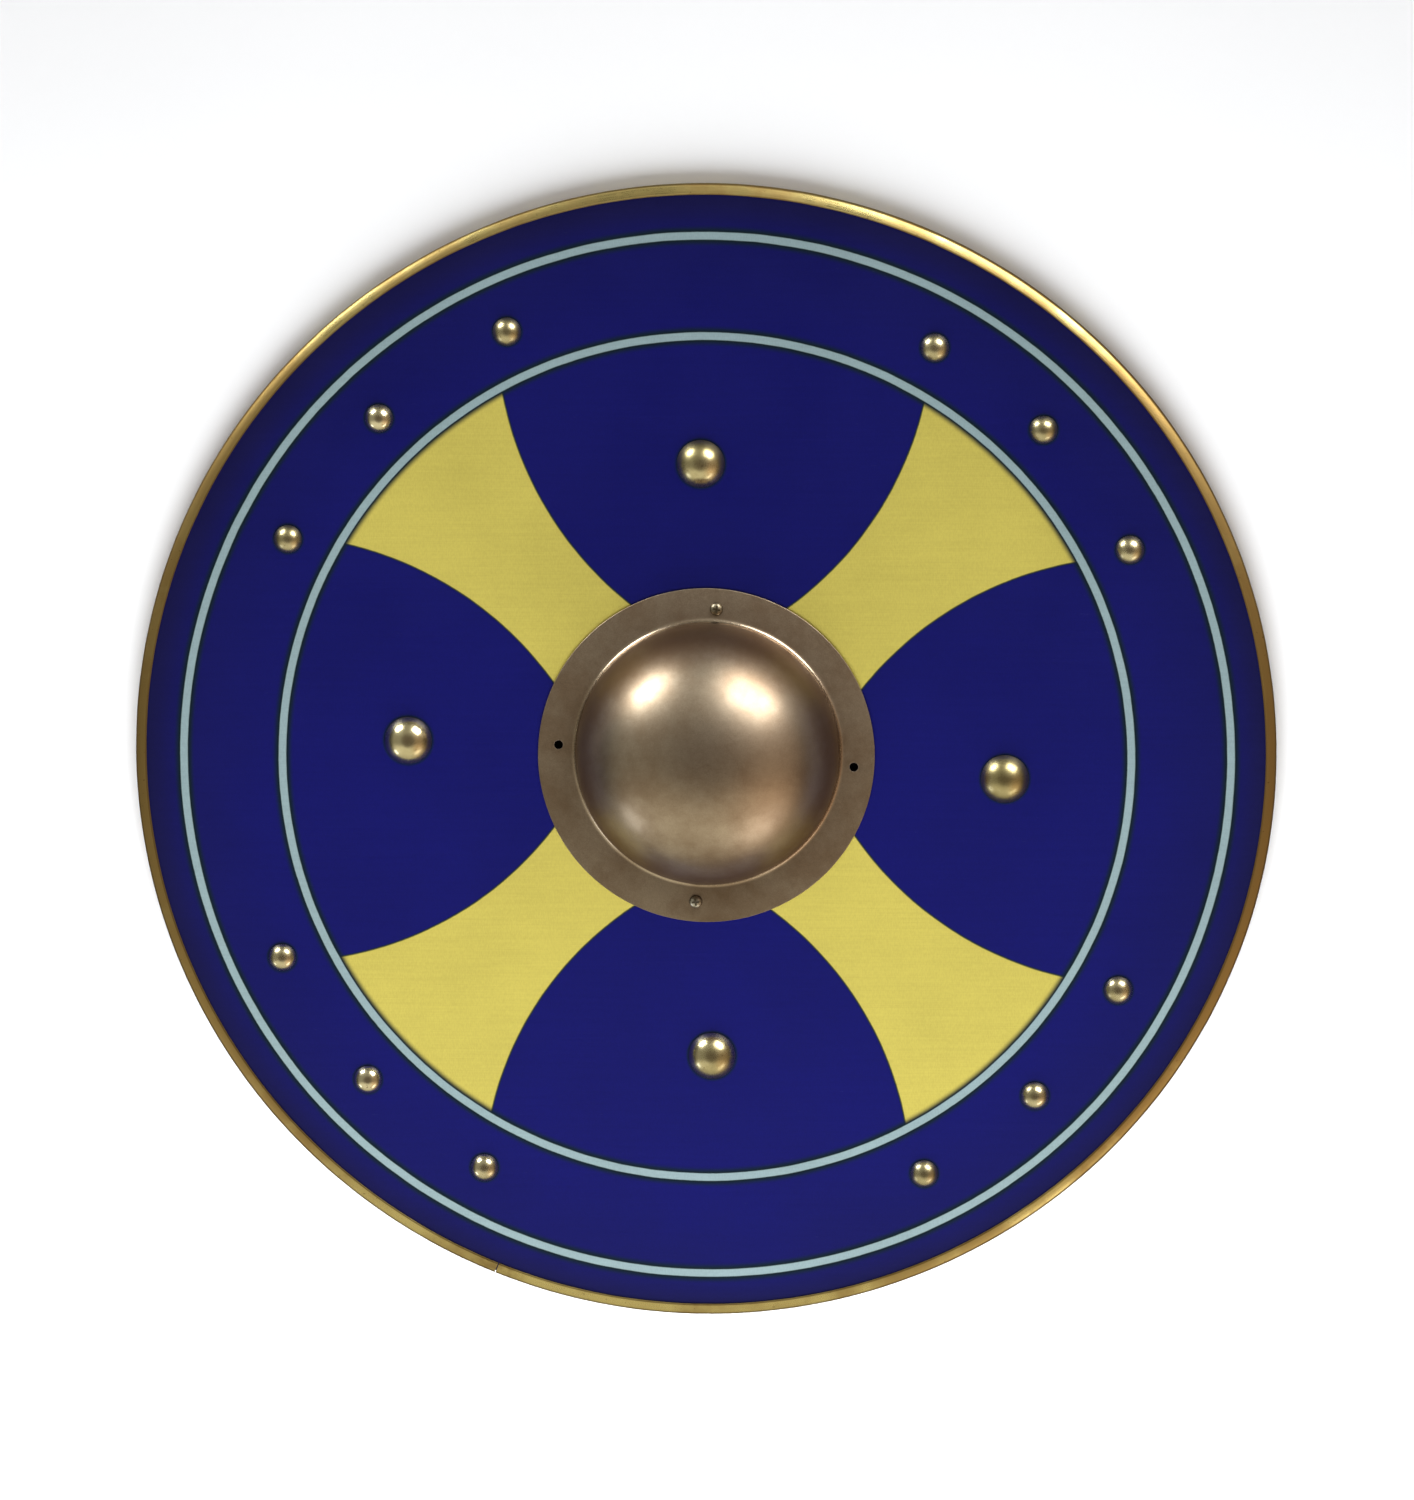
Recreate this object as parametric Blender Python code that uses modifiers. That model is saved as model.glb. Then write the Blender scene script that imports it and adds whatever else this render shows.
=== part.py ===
"""A round wooden shield with a steel boss, lying face up on its back.

Metres, +Z up. The origin is the middle of the underside of the brass edging, +Z runs out
through the boss and +Y points to the top of the shield as it is carried.
"""

import math

import bmesh
import bpy
from mathutils import Matrix, Vector

# Clearance between pieces that touch
FIT_GAP = 0.0003

# Overall size and the brass edging, a strip folded over the rim
SHIELD_DIAMETER = 0.610
EDGING_SHEET = 0.0008
EDGING_LEG = 0.0054
EDGING_CORNER = 0.0020
EDGING_JOINT_ANGLE = 248.0
EDGING_JOINT_OPENING = 0.0006

# The board
BOARD_THICKNESS = 0.010

# The boss: a domed steel shell with a flat flange, whose dome isn't quite in the flange's middle
BOSS_CENTRE = Vector((0.0013, 0.0007, 0.0))
BOSS_DOME_CENTRE = BOSS_CENTRE + Vector((0.0008, 0.0014, 0.0))
BOSS_DOME_RADIUS = 0.0700
BOSS_HEIGHT = 0.0600
BOSS_SHEET = 0.0015
BOSS_FILLET = 0.0030
BOSS_FLANGE_WIDTH = 0.0200
BOSS_HOLE_RADIUS = 0.00225
BOSS_HOLE_INSET = 0.0109
BOSS_TURN = -4.2
BOSS_HOLE_COUNT = 4
HAND_HOLE_LEDGE = 0.0100

# The two screws that hold the boss, in its top and bottom holes
SCREW_HEAD_RADIUS = 0.0035
SCREW_HEAD_HEIGHT = 0.0022
SCREW_CLEARANCE = 0.00035
SCREW_TIP_COVER = 0.0020
SCREW_POINT = 0.0025
SCREW_RECESS_LENGTH = 0.0038
SCREW_RECESS_WIDTH = 0.0009
SCREW_RECESS_DEPTH = 0.0012

# Nails and rivets are set out by eye about one centre, a little off the shield's own
HEADS_CENTRE = Vector((0.0011, -0.0028, 0.0))

# Small dome-headed nails, three to a quarter, from the lowest on the right
SMALL_NAIL_INSET = 0.0524
SMALL_NAIL_HEAD_RADIUS = 0.0075
SMALL_NAIL_HEAD_HEIGHT = 0.0052
SMALL_NAIL_SHANK_RADIUS = 0.0012
SMALL_NAIL_TIP_COVER = 0.0020
SMALL_NAIL_POINT = 0.0030
SMALL_NAIL_ANGLES = (
    26.9, 44.8, 61.2, 114.5, 133.3, 151.8,
    205.1, 223.5, 241.5, 297.6, 314.3, 330.9,
)

# Large rivets: through the board, with a flattened tail on the back
LARGE_RIVET_FROM_BOSS = 0.0698
LARGE_RIVET_HEAD_RADIUS = 0.01275
LARGE_RIVET_HEAD_HEIGHT = 0.0086
LARGE_RIVET_SHANK_RADIUS = 0.0020
LARGE_RIVET_TAIL_RADIUS = 0.0045
LARGE_RIVET_TAIL_HEIGHT = 0.0006
LARGE_RIVET_ANGLES = {"top": 90.8, "left": 176.0, "bottom": 271.0, "right": 356.9}

# The wooden grip, let in flush with the back and riveted at its ends
GRIP_WIDTH = 0.0280
GRIP_THICKNESS = 0.0200
GRIP_LET_IN = 0.0050
GRIP_END_BEYOND_RIVET = 0.0240
GRIP_END_CORNER = 0.0008
GRIP_HAND_CORNER = 0.0070
GRIP_HAND_HALF_LENGTH = 0.0360
GRIP_SHOULDER_CLEARANCE = 0.0030

# Facets of round pieces
RIM_SIDES = 90
BOSS_SIDES = 48
FLANGE_SIDES = 72
HAND_HOLE_SIDES = 48
RIVET_SIDES = 12
HOLE_SIDES = 8
BOSS_HOLE_SIDES = 12

# Worked out from the sizes above
SHIELD_RADIUS = SHIELD_DIAMETER / 2
BOARD_RADIUS = SHIELD_RADIUS - EDGING_SHEET - FIT_GAP
BOARD_BACK_Z = EDGING_SHEET + FIT_GAP
BOARD_FACE_Z = BOARD_BACK_Z + BOARD_THICKNESS
EDGING_HEIGHT = BOARD_FACE_Z + FIT_GAP + EDGING_SHEET
BOSS_BASE_Z = BOARD_FACE_Z + FIT_GAP
BOSS_FLANGE_RADIUS = BOSS_DOME_RADIUS + BOSS_FLANGE_WIDTH
BOSS_HOLE_CIRCLE = BOSS_FLANGE_RADIUS - BOSS_HOLE_INSET
HAND_HOLE_RADIUS = BOSS_DOME_RADIUS - HAND_HOLE_LEDGE
SCREW_SEAT_Z = BOSS_BASE_Z + BOSS_SHEET + FIT_GAP
SCREW_SHANK_RADIUS = BOSS_HOLE_RADIUS - SCREW_CLEARANCE
SCREW_LENGTH = SCREW_SEAT_Z - BOARD_BACK_Z - SCREW_TIP_COVER
NAIL_SEAT_Z = BOARD_FACE_Z + FIT_GAP
SMALL_NAIL_CIRCLE = SHIELD_RADIUS - SMALL_NAIL_INSET
SMALL_NAIL_LENGTH = NAIL_SEAT_Z - BOARD_BACK_Z - SMALL_NAIL_TIP_COVER
LARGE_RIVET_CIRCLE = BOSS_FLANGE_RADIUS + LARGE_RIVET_FROM_BOSS
LARGE_RIVET_SPAN = NAIL_SEAT_Z - BOARD_BACK_Z + FIT_GAP


def remove_everything():
    for thing in list(bpy.data.objects):
        bpy.data.objects.remove(thing, do_unlink=True)


def new_collection(name):
    collection = bpy.data.collections.new(name)
    bpy.context.scene.collection.children.link(collection)
    return collection


def new_material(name, colour, roughness, metallic):
    material = bpy.data.materials.new(name)
    material.use_nodes = True
    shader = material.node_tree.nodes["Principled BSDF"]
    shader.inputs["Base Color"].default_value = (*colour, 1.0)
    shader.inputs["Roughness"].default_value = roughness
    shader.inputs["Metallic"].default_value = metallic
    return material


def polar(radius, degrees, centre=None, z=0.0):
    """The point at a radius and an angle about a centre, at height z."""
    angle = math.radians(degrees)
    middle = centre or Vector()
    return Vector((middle.x + radius * math.cos(angle), middle.y + radius * math.sin(angle), z))


def arc(centre, radius, start, end, steps):
    """Points of a circular arc in the (r, z) plane, with angles in degrees."""
    turned_by = [math.radians(start + (end - start) * i / steps) for i in range(steps + 1)]
    return [(centre[0] + radius * math.cos(a), centre[1] + radius * math.sin(a)) for a in turned_by]


def dome_profile(radius, height, steps, base=0.0):
    """Points of a quarter ellipse from its apex on the axis down to its rim."""
    angles = [math.pi / 2 * i / steps for i in range(steps + 1)]
    return [(radius * math.sin(a), base + height * math.cos(a)) for a in angles]


def cap_profile(radius, height, steps):
    """Points of a slice of a ball, from its crown on the axis down to its edge."""
    ball = (radius * radius + height * height) / (2 * height)
    edge = math.asin(radius / ball)
    angles = [edge * i / steps for i in range(steps + 1)]
    return [(ball * math.sin(a), height - ball * (1 - math.cos(a))) for a in angles]


def profile_mesh(name, points, closed):
    """A mesh of edges alone, with the profile's points in the XZ plane."""
    mesh = bpy.data.meshes.new(name)
    shape = bmesh.new()
    corners = [shape.verts.new((x, 0.0, z)) for x, z in points]
    for first, second in zip(corners, corners[1:]):
        shape.edges.new((first, second))
    if closed:
        shape.edges.new((corners[-1], corners[0]))
    shape.to_mesh(mesh)
    shape.free()
    return mesh


def turned(name, mesh, sides, material, collection):
    """A profile swept right round the Z axis.

    The profile's points run from the top outwards and down, so that the faces look outwards.
    """
    piece = bpy.data.objects.new(name, mesh)
    collection.objects.link(piece)
    if not mesh.materials:
        mesh.materials.append(material)
    screw = piece.modifiers.new("Turn", "SCREW")
    screw.axis = "Z"
    screw.steps = sides
    screw.render_steps = sides
    screw.use_merge_vertices = True
    screw.merge_threshold = 0.00001
    screw.use_smooth_shade = True
    return piece


def as_cutter(piece):
    piece.hide_render = True
    piece.display_type = "WIRE"
    return piece


def prism(name, place, radius, z_low, z_high, sides, collection):
    """An upright many-sided prism whose corners are at this radius."""
    bpy.ops.mesh.primitive_cylinder_add(
        vertices=sides,
        radius=radius,
        depth=z_high - z_low,
        location=(place.x, place.y, (z_low + z_high) / 2),
    )
    piece = bpy.context.active_object
    piece.name = name
    for owner in list(piece.users_collection):
        owner.objects.unlink(piece)
    collection.objects.link(piece)
    return as_cutter(piece)


def hole_cutter(name, place, radius, z_low, z_high, sides, collection):
    """A prism whose flats stand clear of a round of this radius."""
    corner_radius = radius / math.cos(math.pi / sides)
    return prism(name, place, corner_radius, z_low, z_high, sides, collection)


def box_cutter(name, size, collection, matrix):
    """A box of this size about its own middle, placed by a matrix."""
    mesh = bpy.data.meshes.new(name)
    shape = bmesh.new()
    bmesh.ops.create_cube(shape, size=1.0)
    bmesh.ops.scale(shape, vec=size, verts=shape.verts)
    shape.to_mesh(mesh)
    shape.free()
    piece = bpy.data.objects.new(name, mesh)
    piece.matrix_world = matrix
    collection.objects.link(piece)
    return as_cutter(piece)


def cut(piece, cutter, operation="DIFFERENCE"):
    boolean = piece.modifiers.new("Cut " + cutter.name, "BOOLEAN")
    boolean.operation = operation
    boolean.solver = "EXACT"
    boolean.object = cutter


def small_nail_places():
    """Name and place of each small nail."""
    places = []
    for count, angle in enumerate(SMALL_NAIL_ANGLES, start=1):
        place = polar(SMALL_NAIL_CIRCLE, angle, HEADS_CENTRE, NAIL_SEAT_Z)
        places.append((f"small_nail_{count:02d}", place))
    return places


def large_rivet_places():
    """Name and place of each large rivet."""
    return {
        f"large_rivet_{side}": polar(LARGE_RIVET_CIRCLE, angle, HEADS_CENTRE, NAIL_SEAT_Z)
        for side, angle in LARGE_RIVET_ANGLES.items()
    }


def boss_hole_places():
    """Places of the holes in the boss's flange, the first at its top."""
    step = 360.0 / BOSS_HOLE_COUNT
    first = 90.0 + BOSS_TURN
    return [polar(BOSS_HOLE_CIRCLE, first + i * step, BOSS_CENTRE) for i in range(BOSS_HOLE_COUNT)]


def screw_places():
    """Name and place of the screws: one in the top hole and one in the opposite hole."""
    holes = boss_hole_places()
    taken = {"boss_screw_top": holes[0], "boss_screw_bottom": holes[len(holes) // 2]}
    return {name: Vector((hole.x, hole.y, SCREW_SEAT_Z)) for name, hole in taken.items()}


def grip_line():
    """The grip's middle, its turn about Z and its length, from the two rivets through its ends."""
    rivets = large_rivet_places()
    left, right = rivets["large_rivet_left"], rivets["large_rivet_right"]
    along = right - left
    length = along.length + 2 * GRIP_END_BEYOND_RIVET
    return (left + right) / 2, math.atan2(along.y, along.x), length


def grip_matrix():
    """The grip's own frame: X along it, its underside at z = 0."""
    middle, turn, _ = grip_line()
    place = Matrix.Translation((middle.x, middle.y, BOARD_BACK_Z))
    return place @ Matrix.Rotation(turn, 4, "Z")


def make_board(parts, cutters, wood):
    """The disc with its hand hole, nail holes, a pilot hole for each screw and the grip's housing."""
    chamfer = EDGING_CORNER - EDGING_SHEET
    profile = [
        (0.0, BOARD_FACE_Z),
        (BOARD_RADIUS - chamfer, BOARD_FACE_Z),
        (BOARD_RADIUS, BOARD_FACE_Z - chamfer),
        (BOARD_RADIUS, BOARD_BACK_Z + chamfer),
        (BOARD_RADIUS - chamfer, BOARD_BACK_Z),
        (0.0, BOARD_BACK_Z),
    ]
    board = turned("board", profile_mesh("board", profile, False), RIM_SIDES, wood, parts)
    above = BOARD_FACE_Z + BOARD_THICKNESS
    below = BOARD_BACK_Z - BOARD_THICKNESS
    hand_hole = prism(
        "hand_hole", BOSS_DOME_CENTRE, HAND_HOLE_RADIUS, below, above, HAND_HOLE_SIDES, cutters
    )
    cut(board, hand_hole)
    nail_bottom = BOARD_BACK_Z + SMALL_NAIL_TIP_COVER - FIT_GAP
    for name, place in small_nail_places():
        radius = SMALL_NAIL_SHANK_RADIUS + FIT_GAP
        cut(board, hole_cutter(name + "_hole", place, radius, nail_bottom, above, HOLE_SIDES, cutters))
    for name, place in large_rivet_places().items():
        radius = LARGE_RIVET_SHANK_RADIUS + FIT_GAP
        cut(board, hole_cutter(name + "_hole", place, radius, below, above, HOLE_SIDES, cutters))
    screw_bottom = BOARD_BACK_Z + SCREW_TIP_COVER - FIT_GAP
    for count, place in enumerate(boss_hole_places(), start=1):
        name = f"pilot_hole_{count}"
        radius = SCREW_SHANK_RADIUS + FIT_GAP
        cut(board, hole_cutter(name, place, radius, screw_bottom, above, HOLE_SIDES, cutters))
    length = grip_line()[2] + 2 * FIT_GAP
    depth = GRIP_LET_IN + FIT_GAP
    size = (length, GRIP_WIDTH + 2 * FIT_GAP, 2 * depth)
    cut(board, box_cutter("grip_housing", size, cutters, grip_matrix()))


def make_edging(parts, cutters, brass):
    """The brass channel round the rim, with the butt joint where its two ends meet."""
    outer = SHIELD_RADIUS - EDGING_CORNER
    lip = SHIELD_RADIUS - EDGING_LEG
    inner_corner = EDGING_CORNER - EDGING_SHEET
    low = EDGING_CORNER
    high = EDGING_HEIGHT - EDGING_CORNER
    profile = [(lip, EDGING_HEIGHT)]
    profile += arc((outer, high), EDGING_CORNER, 90.0, 0.0, 2)
    profile += arc((outer, low), EDGING_CORNER, 0.0, -90.0, 2)
    profile += [(lip, 0.0), (lip, EDGING_SHEET)]
    profile += arc((outer, low), inner_corner, -90.0, 0.0, 1)
    profile += arc((outer, high), inner_corner, 0.0, 90.0, 1)
    profile += [(lip, EDGING_HEIGHT - EDGING_SHEET)]
    mesh = profile_mesh("brass_edging", profile, True)
    edging = turned("brass_edging", mesh, RIM_SIDES, brass, parts)
    reach = 2 * EDGING_LEG
    size = (2 * reach, EDGING_JOINT_OPENING, 2 * EDGING_HEIGHT)
    place = polar(SHIELD_RADIUS, EDGING_JOINT_ANGLE, z=EDGING_HEIGHT / 2)
    turn = Matrix.Rotation(math.radians(EDGING_JOINT_ANGLE), 4, "Z")
    joint = box_cutter("edging_joint", size, cutters, Matrix.Translation(place) @ turn)
    cut(edging, joint)


def make_boss(parts, cutters, steel):
    """The domed shell: half an ellipse over a fillet that runs out into the flange."""
    base = BOSS_SHEET + BOSS_FILLET
    profile = dome_profile(BOSS_DOME_RADIUS, BOSS_HEIGHT - base, 9, base)
    profile += arc((BOSS_DOME_RADIUS + BOSS_FILLET, base), BOSS_FILLET, 180.0, 270.0, 2)[1:]
    off_centre = (BOSS_DOME_CENTRE - BOSS_CENTRE).length
    profile += [(BOSS_FLANGE_RADIUS + off_centre + BOSS_SHEET, BOSS_SHEET)]
    boss = turned("boss", profile_mesh("boss", profile, False), BOSS_SIDES, steel, parts)
    boss.location = BOSS_DOME_CENTRE + Vector((0.0, 0.0, BOSS_BASE_Z))
    shell = boss.modifiers.new("Sheet", "SOLIDIFY")
    shell.thickness = BOSS_SHEET
    shell.offset = -1.0
    shell.use_even_offset = True
    low = BOSS_BASE_Z - BOSS_SHEET
    high = BOSS_BASE_Z + 2 * BOSS_SHEET
    top = BOSS_BASE_Z + 2 * BOSS_HEIGHT
    flange_outline = prism(
        "flange_outline", BOSS_CENTRE, BOSS_FLANGE_RADIUS, low, top, FLANGE_SIDES, cutters
    )
    cut(boss, flange_outline, "INTERSECT")
    for count, place in enumerate(boss_hole_places(), start=1):
        name = f"boss_hole_{count}"
        cut(boss, hole_cutter(name, place, BOSS_HOLE_RADIUS, low, high, BOSS_HOLE_SIDES, cutters))


def make_screws(parts, cutters, steel):
    """Round-headed screws with a cross recess."""
    profile = dome_profile(SCREW_HEAD_RADIUS, SCREW_HEAD_HEIGHT, 3)
    profile += [
        (SCREW_SHANK_RADIUS, 0.0),
        (SCREW_SHANK_RADIUS, SCREW_POINT - SCREW_LENGTH),
        (0.0, -SCREW_LENGTH),
    ]
    mesh = profile_mesh("boss_screw", profile, False)
    for name, place in screw_places().items():
        screw = turned(name, mesh, RIVET_SIDES, steel, parts)
        screw.location = place
        size = (SCREW_RECESS_LENGTH, SCREW_RECESS_WIDTH, 2 * SCREW_RECESS_DEPTH)
        for turn in (30.0, 120.0):
            top = place + Vector((0.0, 0.0, SCREW_HEAD_HEIGHT))
            matrix = Matrix.Translation(top) @ Matrix.Rotation(math.radians(turn), 4, "Z")
            cut(screw, box_cutter(f"{name}_recess_{turn:.0f}", size, cutters, matrix))


def make_small_nails(parts, brass):
    profile = cap_profile(SMALL_NAIL_HEAD_RADIUS, SMALL_NAIL_HEAD_HEIGHT, 3)
    profile += [
        (SMALL_NAIL_SHANK_RADIUS, 0.0),
        (SMALL_NAIL_SHANK_RADIUS, SMALL_NAIL_POINT - SMALL_NAIL_LENGTH),
        (0.0, -SMALL_NAIL_LENGTH),
    ]
    mesh = profile_mesh("small_nail", profile, False)
    for name, place in small_nail_places():
        turned(name, mesh, RIVET_SIDES, brass, parts).location = place


def make_large_rivets(parts, brass):
    tail_end = -LARGE_RIVET_SPAN - LARGE_RIVET_TAIL_HEIGHT
    profile = cap_profile(LARGE_RIVET_HEAD_RADIUS, LARGE_RIVET_HEAD_HEIGHT, 4)
    profile += [
        (LARGE_RIVET_SHANK_RADIUS, 0.0),
        (LARGE_RIVET_SHANK_RADIUS, -LARGE_RIVET_SPAN),
        (LARGE_RIVET_TAIL_RADIUS, -LARGE_RIVET_SPAN),
        (LARGE_RIVET_TAIL_RADIUS, tail_end),
        (0.0, tail_end),
    ]
    mesh = profile_mesh("large_rivet", profile, False)
    for name, place in large_rivet_places().items():
        turned(name, mesh, RIVET_SIDES, brass, parts).location = place


def rounded_section(width, low, high, corner):
    """A rounded rectangle in the YZ plane, counter-clockwise seen from +X."""
    half = width / 2
    centres = (
        (half - corner, high - corner, 0.0),
        (corner - half, high - corner, 90.0),
        (corner - half, low + corner, 180.0),
        (half - corner, low + corner, 270.0),
    )
    points = []
    for y, z, start in centres:
        points += arc((y, z), corner, start, start + 90.0, 3)
    return points


def grip_stations():
    """Where the grip's section changes: (x, share of the hand's section), along half its length."""
    shoulder = HAND_HOLE_RADIUS - GRIP_SHOULDER_CLEARANCE
    run = shoulder - GRIP_HAND_HALF_LENGTH
    steps = 4
    stations = []
    for i in range(steps + 1):
        share = i / steps
        eased = share * share * (3 - 2 * share)
        stations.append((GRIP_HAND_HALF_LENGTH + run * share, 1.0 - eased))
    return stations + [(grip_line()[2] / 2, 0.0)]


def make_grip(parts, cutters, wood):
    """A bar that is flat where it is let in and swells to a rounded handle across the hand hole."""
    shape = bmesh.new()
    half = grip_stations()
    stations = [(-x, share) for x, share in reversed(half)] + half
    rings = []
    for x, share in stations:
        high = GRIP_LET_IN + (GRIP_THICKNESS - GRIP_LET_IN) * share
        corner = GRIP_END_CORNER + (GRIP_HAND_CORNER - GRIP_END_CORNER) * share
        section = rounded_section(GRIP_WIDTH, 0.0, high, corner)
        rings.append([shape.verts.new((x, y, z)) for y, z in section])
    for first, second in zip(rings, rings[1:]):
        count = len(first)
        for i in range(count):
            following = (i + 1) % count
            shape.faces.new((first[i], second[i], second[following], first[following]))
    shape.faces.new(rings[0])
    shape.faces.new(list(reversed(rings[-1])))
    bmesh.ops.recalc_face_normals(shape, faces=shape.faces)
    mesh = bpy.data.meshes.new("grip")
    shape.to_mesh(mesh)
    shape.free()
    mesh.materials.append(wood)
    grip = bpy.data.objects.new("grip", mesh)
    grip.matrix_world = grip_matrix()
    parts.objects.link(grip)
    rivets = large_rivet_places()
    radius = LARGE_RIVET_SHANK_RADIUS + FIT_GAP
    low = BOARD_BACK_Z - GRIP_LET_IN
    high = BOARD_BACK_Z + 2 * GRIP_LET_IN
    for side in ("left", "right"):
        place = rivets["large_rivet_" + side]
        cut(grip, hole_cutter(f"grip_hole_{side}", place, radius, low, high, HOLE_SIDES, cutters))


def main():
    remove_everything()
    parts = new_collection("round_shield")
    cutters = new_collection("cutters")
    painted_wood = new_material("painted_wood", (0.010, 0.010, 0.120), 0.55, 0.0)
    bare_wood = new_material("bare_wood", (0.420, 0.250, 0.120), 0.60, 0.0)
    brass = new_material("brass", (0.560, 0.400, 0.140), 0.25, 1.0)
    steel = new_material("steel", (0.420, 0.370, 0.320), 0.32, 1.0)
    make_board(parts, cutters, painted_wood)
    make_edging(parts, cutters, brass)
    make_boss(parts, cutters, steel)
    make_screws(parts, cutters, steel)
    make_small_nails(parts, brass)
    make_large_rivets(parts, brass)
    make_grip(parts, cutters, bare_wood)


main()
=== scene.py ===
"""The looks of a painted wooden round shield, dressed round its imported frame.

The shield lies on its back. Each sub-assembly is a class that builds its own meshes and gives
them their finish. Geometry Nodes make the turned pieces and set the nails, rivets and screws.
"""

import logging
import math
from collections.abc import Iterable, Sequence
from dataclasses import dataclass, field
from enum import Enum
from typing import NamedTuple

import bmesh
import bpy
from mathutils import Matrix, Vector


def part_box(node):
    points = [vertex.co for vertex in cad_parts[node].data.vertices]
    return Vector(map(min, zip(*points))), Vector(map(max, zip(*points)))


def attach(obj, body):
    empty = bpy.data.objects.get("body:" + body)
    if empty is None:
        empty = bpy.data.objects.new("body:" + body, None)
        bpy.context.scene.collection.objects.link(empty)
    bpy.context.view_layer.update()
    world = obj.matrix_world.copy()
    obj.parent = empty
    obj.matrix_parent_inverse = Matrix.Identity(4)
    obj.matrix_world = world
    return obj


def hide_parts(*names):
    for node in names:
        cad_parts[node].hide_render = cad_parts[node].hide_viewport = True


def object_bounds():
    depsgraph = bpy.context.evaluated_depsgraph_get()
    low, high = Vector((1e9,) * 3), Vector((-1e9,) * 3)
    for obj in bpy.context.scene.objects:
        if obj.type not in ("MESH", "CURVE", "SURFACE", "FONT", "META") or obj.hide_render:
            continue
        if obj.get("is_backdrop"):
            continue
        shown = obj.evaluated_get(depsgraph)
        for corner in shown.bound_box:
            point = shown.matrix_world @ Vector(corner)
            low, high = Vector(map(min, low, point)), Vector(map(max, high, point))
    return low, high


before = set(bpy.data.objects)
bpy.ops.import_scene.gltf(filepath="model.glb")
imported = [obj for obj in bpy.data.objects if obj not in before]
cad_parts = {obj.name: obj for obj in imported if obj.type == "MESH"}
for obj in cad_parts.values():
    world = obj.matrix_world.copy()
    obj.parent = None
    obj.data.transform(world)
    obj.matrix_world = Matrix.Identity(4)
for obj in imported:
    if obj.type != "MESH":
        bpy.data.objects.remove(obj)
CAD_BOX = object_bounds()

LOG = logging.getLogger("round_shield")
BODY = "root"

Colour = tuple[float, float, float, float]
Socket = bpy.types.NodeSocket
Value = float | Sequence[float] | Socket
Outline = list[tuple[float, float]]
Post = tuple[Vector, float]


class Ramp(NamedTuple):
    """How a result runs smoothly from one value to another as a number passes through a range."""

    low: float
    high: float
    at_low: float = 0.0
    at_high: float = 1.0

    def times(self, length: float) -> "Ramp":
        """Gives the ramp whose range is this one's, counted in a length."""
        return self._replace(low=self.low * length, high=self.high * length)

    def past(self, start: float) -> "Ramp":
        """Gives the ramp whose range is this one's, counted from a start."""
        return self._replace(low=self.low + start, high=self.high + start)


class Grain(NamedTuple):
    """Noise: how many of its features fit in a metre, on the whole or along each axis.

    The detail is the number of finer layers, and the rough is how strong they are.
    """

    scale: float | tuple[float, float, float]
    detail: float = 3.0
    rough: float = 0.5


def tint(red: int, green: int, blue: int) -> Colour:
    """Gives a screen colour as linear light.

    Args:
        red: Red, from 0 to 255.
        green: Green, from 0 to 255.
        blue: Blue, from 0 to 255.

    Returns:
        The linear colour, opaque.
    """
    shares = (red / 255, green / 255, blue / 255)
    linear = [s / 12.92 if s <= 0.04045 else ((s + 0.055) / 1.055) ** 2.4 for s in shares]
    return (*linear, 1.0)


def node_middle(node: str) -> Vector:
    """Gives the middle of a frame node's box.

    Args:
        node: The node's name.

    Returns:
        The box's middle.
    """
    low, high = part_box(node)
    return (low + high) / 2


def numbered(stem: str) -> list[str]:
    """Lists the frame's nodes whose names start with a stem.

    Args:
        stem: How the names start.

    Returns:
        The names in order.
    """
    return sorted(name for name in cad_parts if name.startswith(stem))


def arc(centre: tuple[float, float], radius: float, start: float, end: float, steps: int) -> Outline:
    """Walks a circular arc in the plane of a profile.

    Args:
        centre: The arc's centre, as distance from the axis and height.
        radius: The arc's radius.
        start: Its first angle in degrees.
        end: Its last angle in degrees.
        steps: The number of chords.

    Returns:
        The points, both ends included.
    """
    angles = [math.radians(start + (end - start) * i / steps) for i in range(steps + 1)]
    return [(centre[0] + radius * math.cos(a), centre[1] + radius * math.sin(a)) for a in angles]


def dome(radius: float, height: float, base: float, steps: int) -> Outline:
    """Walks a quarter ellipse from its crown on the axis down to its foot.

    Args:
        radius: The foot's distance from the axis.
        height: The crown's height above the foot.
        base: The foot's height.
        steps: The number of chords.

    Returns:
        The points, both ends included.
    """
    angles = [math.pi / 2 * i / steps for i in range(steps + 1)]
    return [(radius * math.sin(a), base + height * math.cos(a)) for a in angles]


def cap(radius: float, height: float, base: float, steps: int) -> Outline:
    """Walks a slice of a ball from its crown on the axis down to its edge.

    Args:
        radius: The edge's distance from the axis.
        height: The crown's height above the edge.
        base: The edge's height.
        steps: The number of chords.

    Returns:
        The points, both ends included.
    """
    ball = (radius * radius + height * height) / (2 * height)
    edge = math.degrees(math.asin(radius / ball))
    return [(abs(x), z) for x, z in arc((0.0, base + height - ball), ball, 90.0, 90.0 - edge, steps)]


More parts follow.
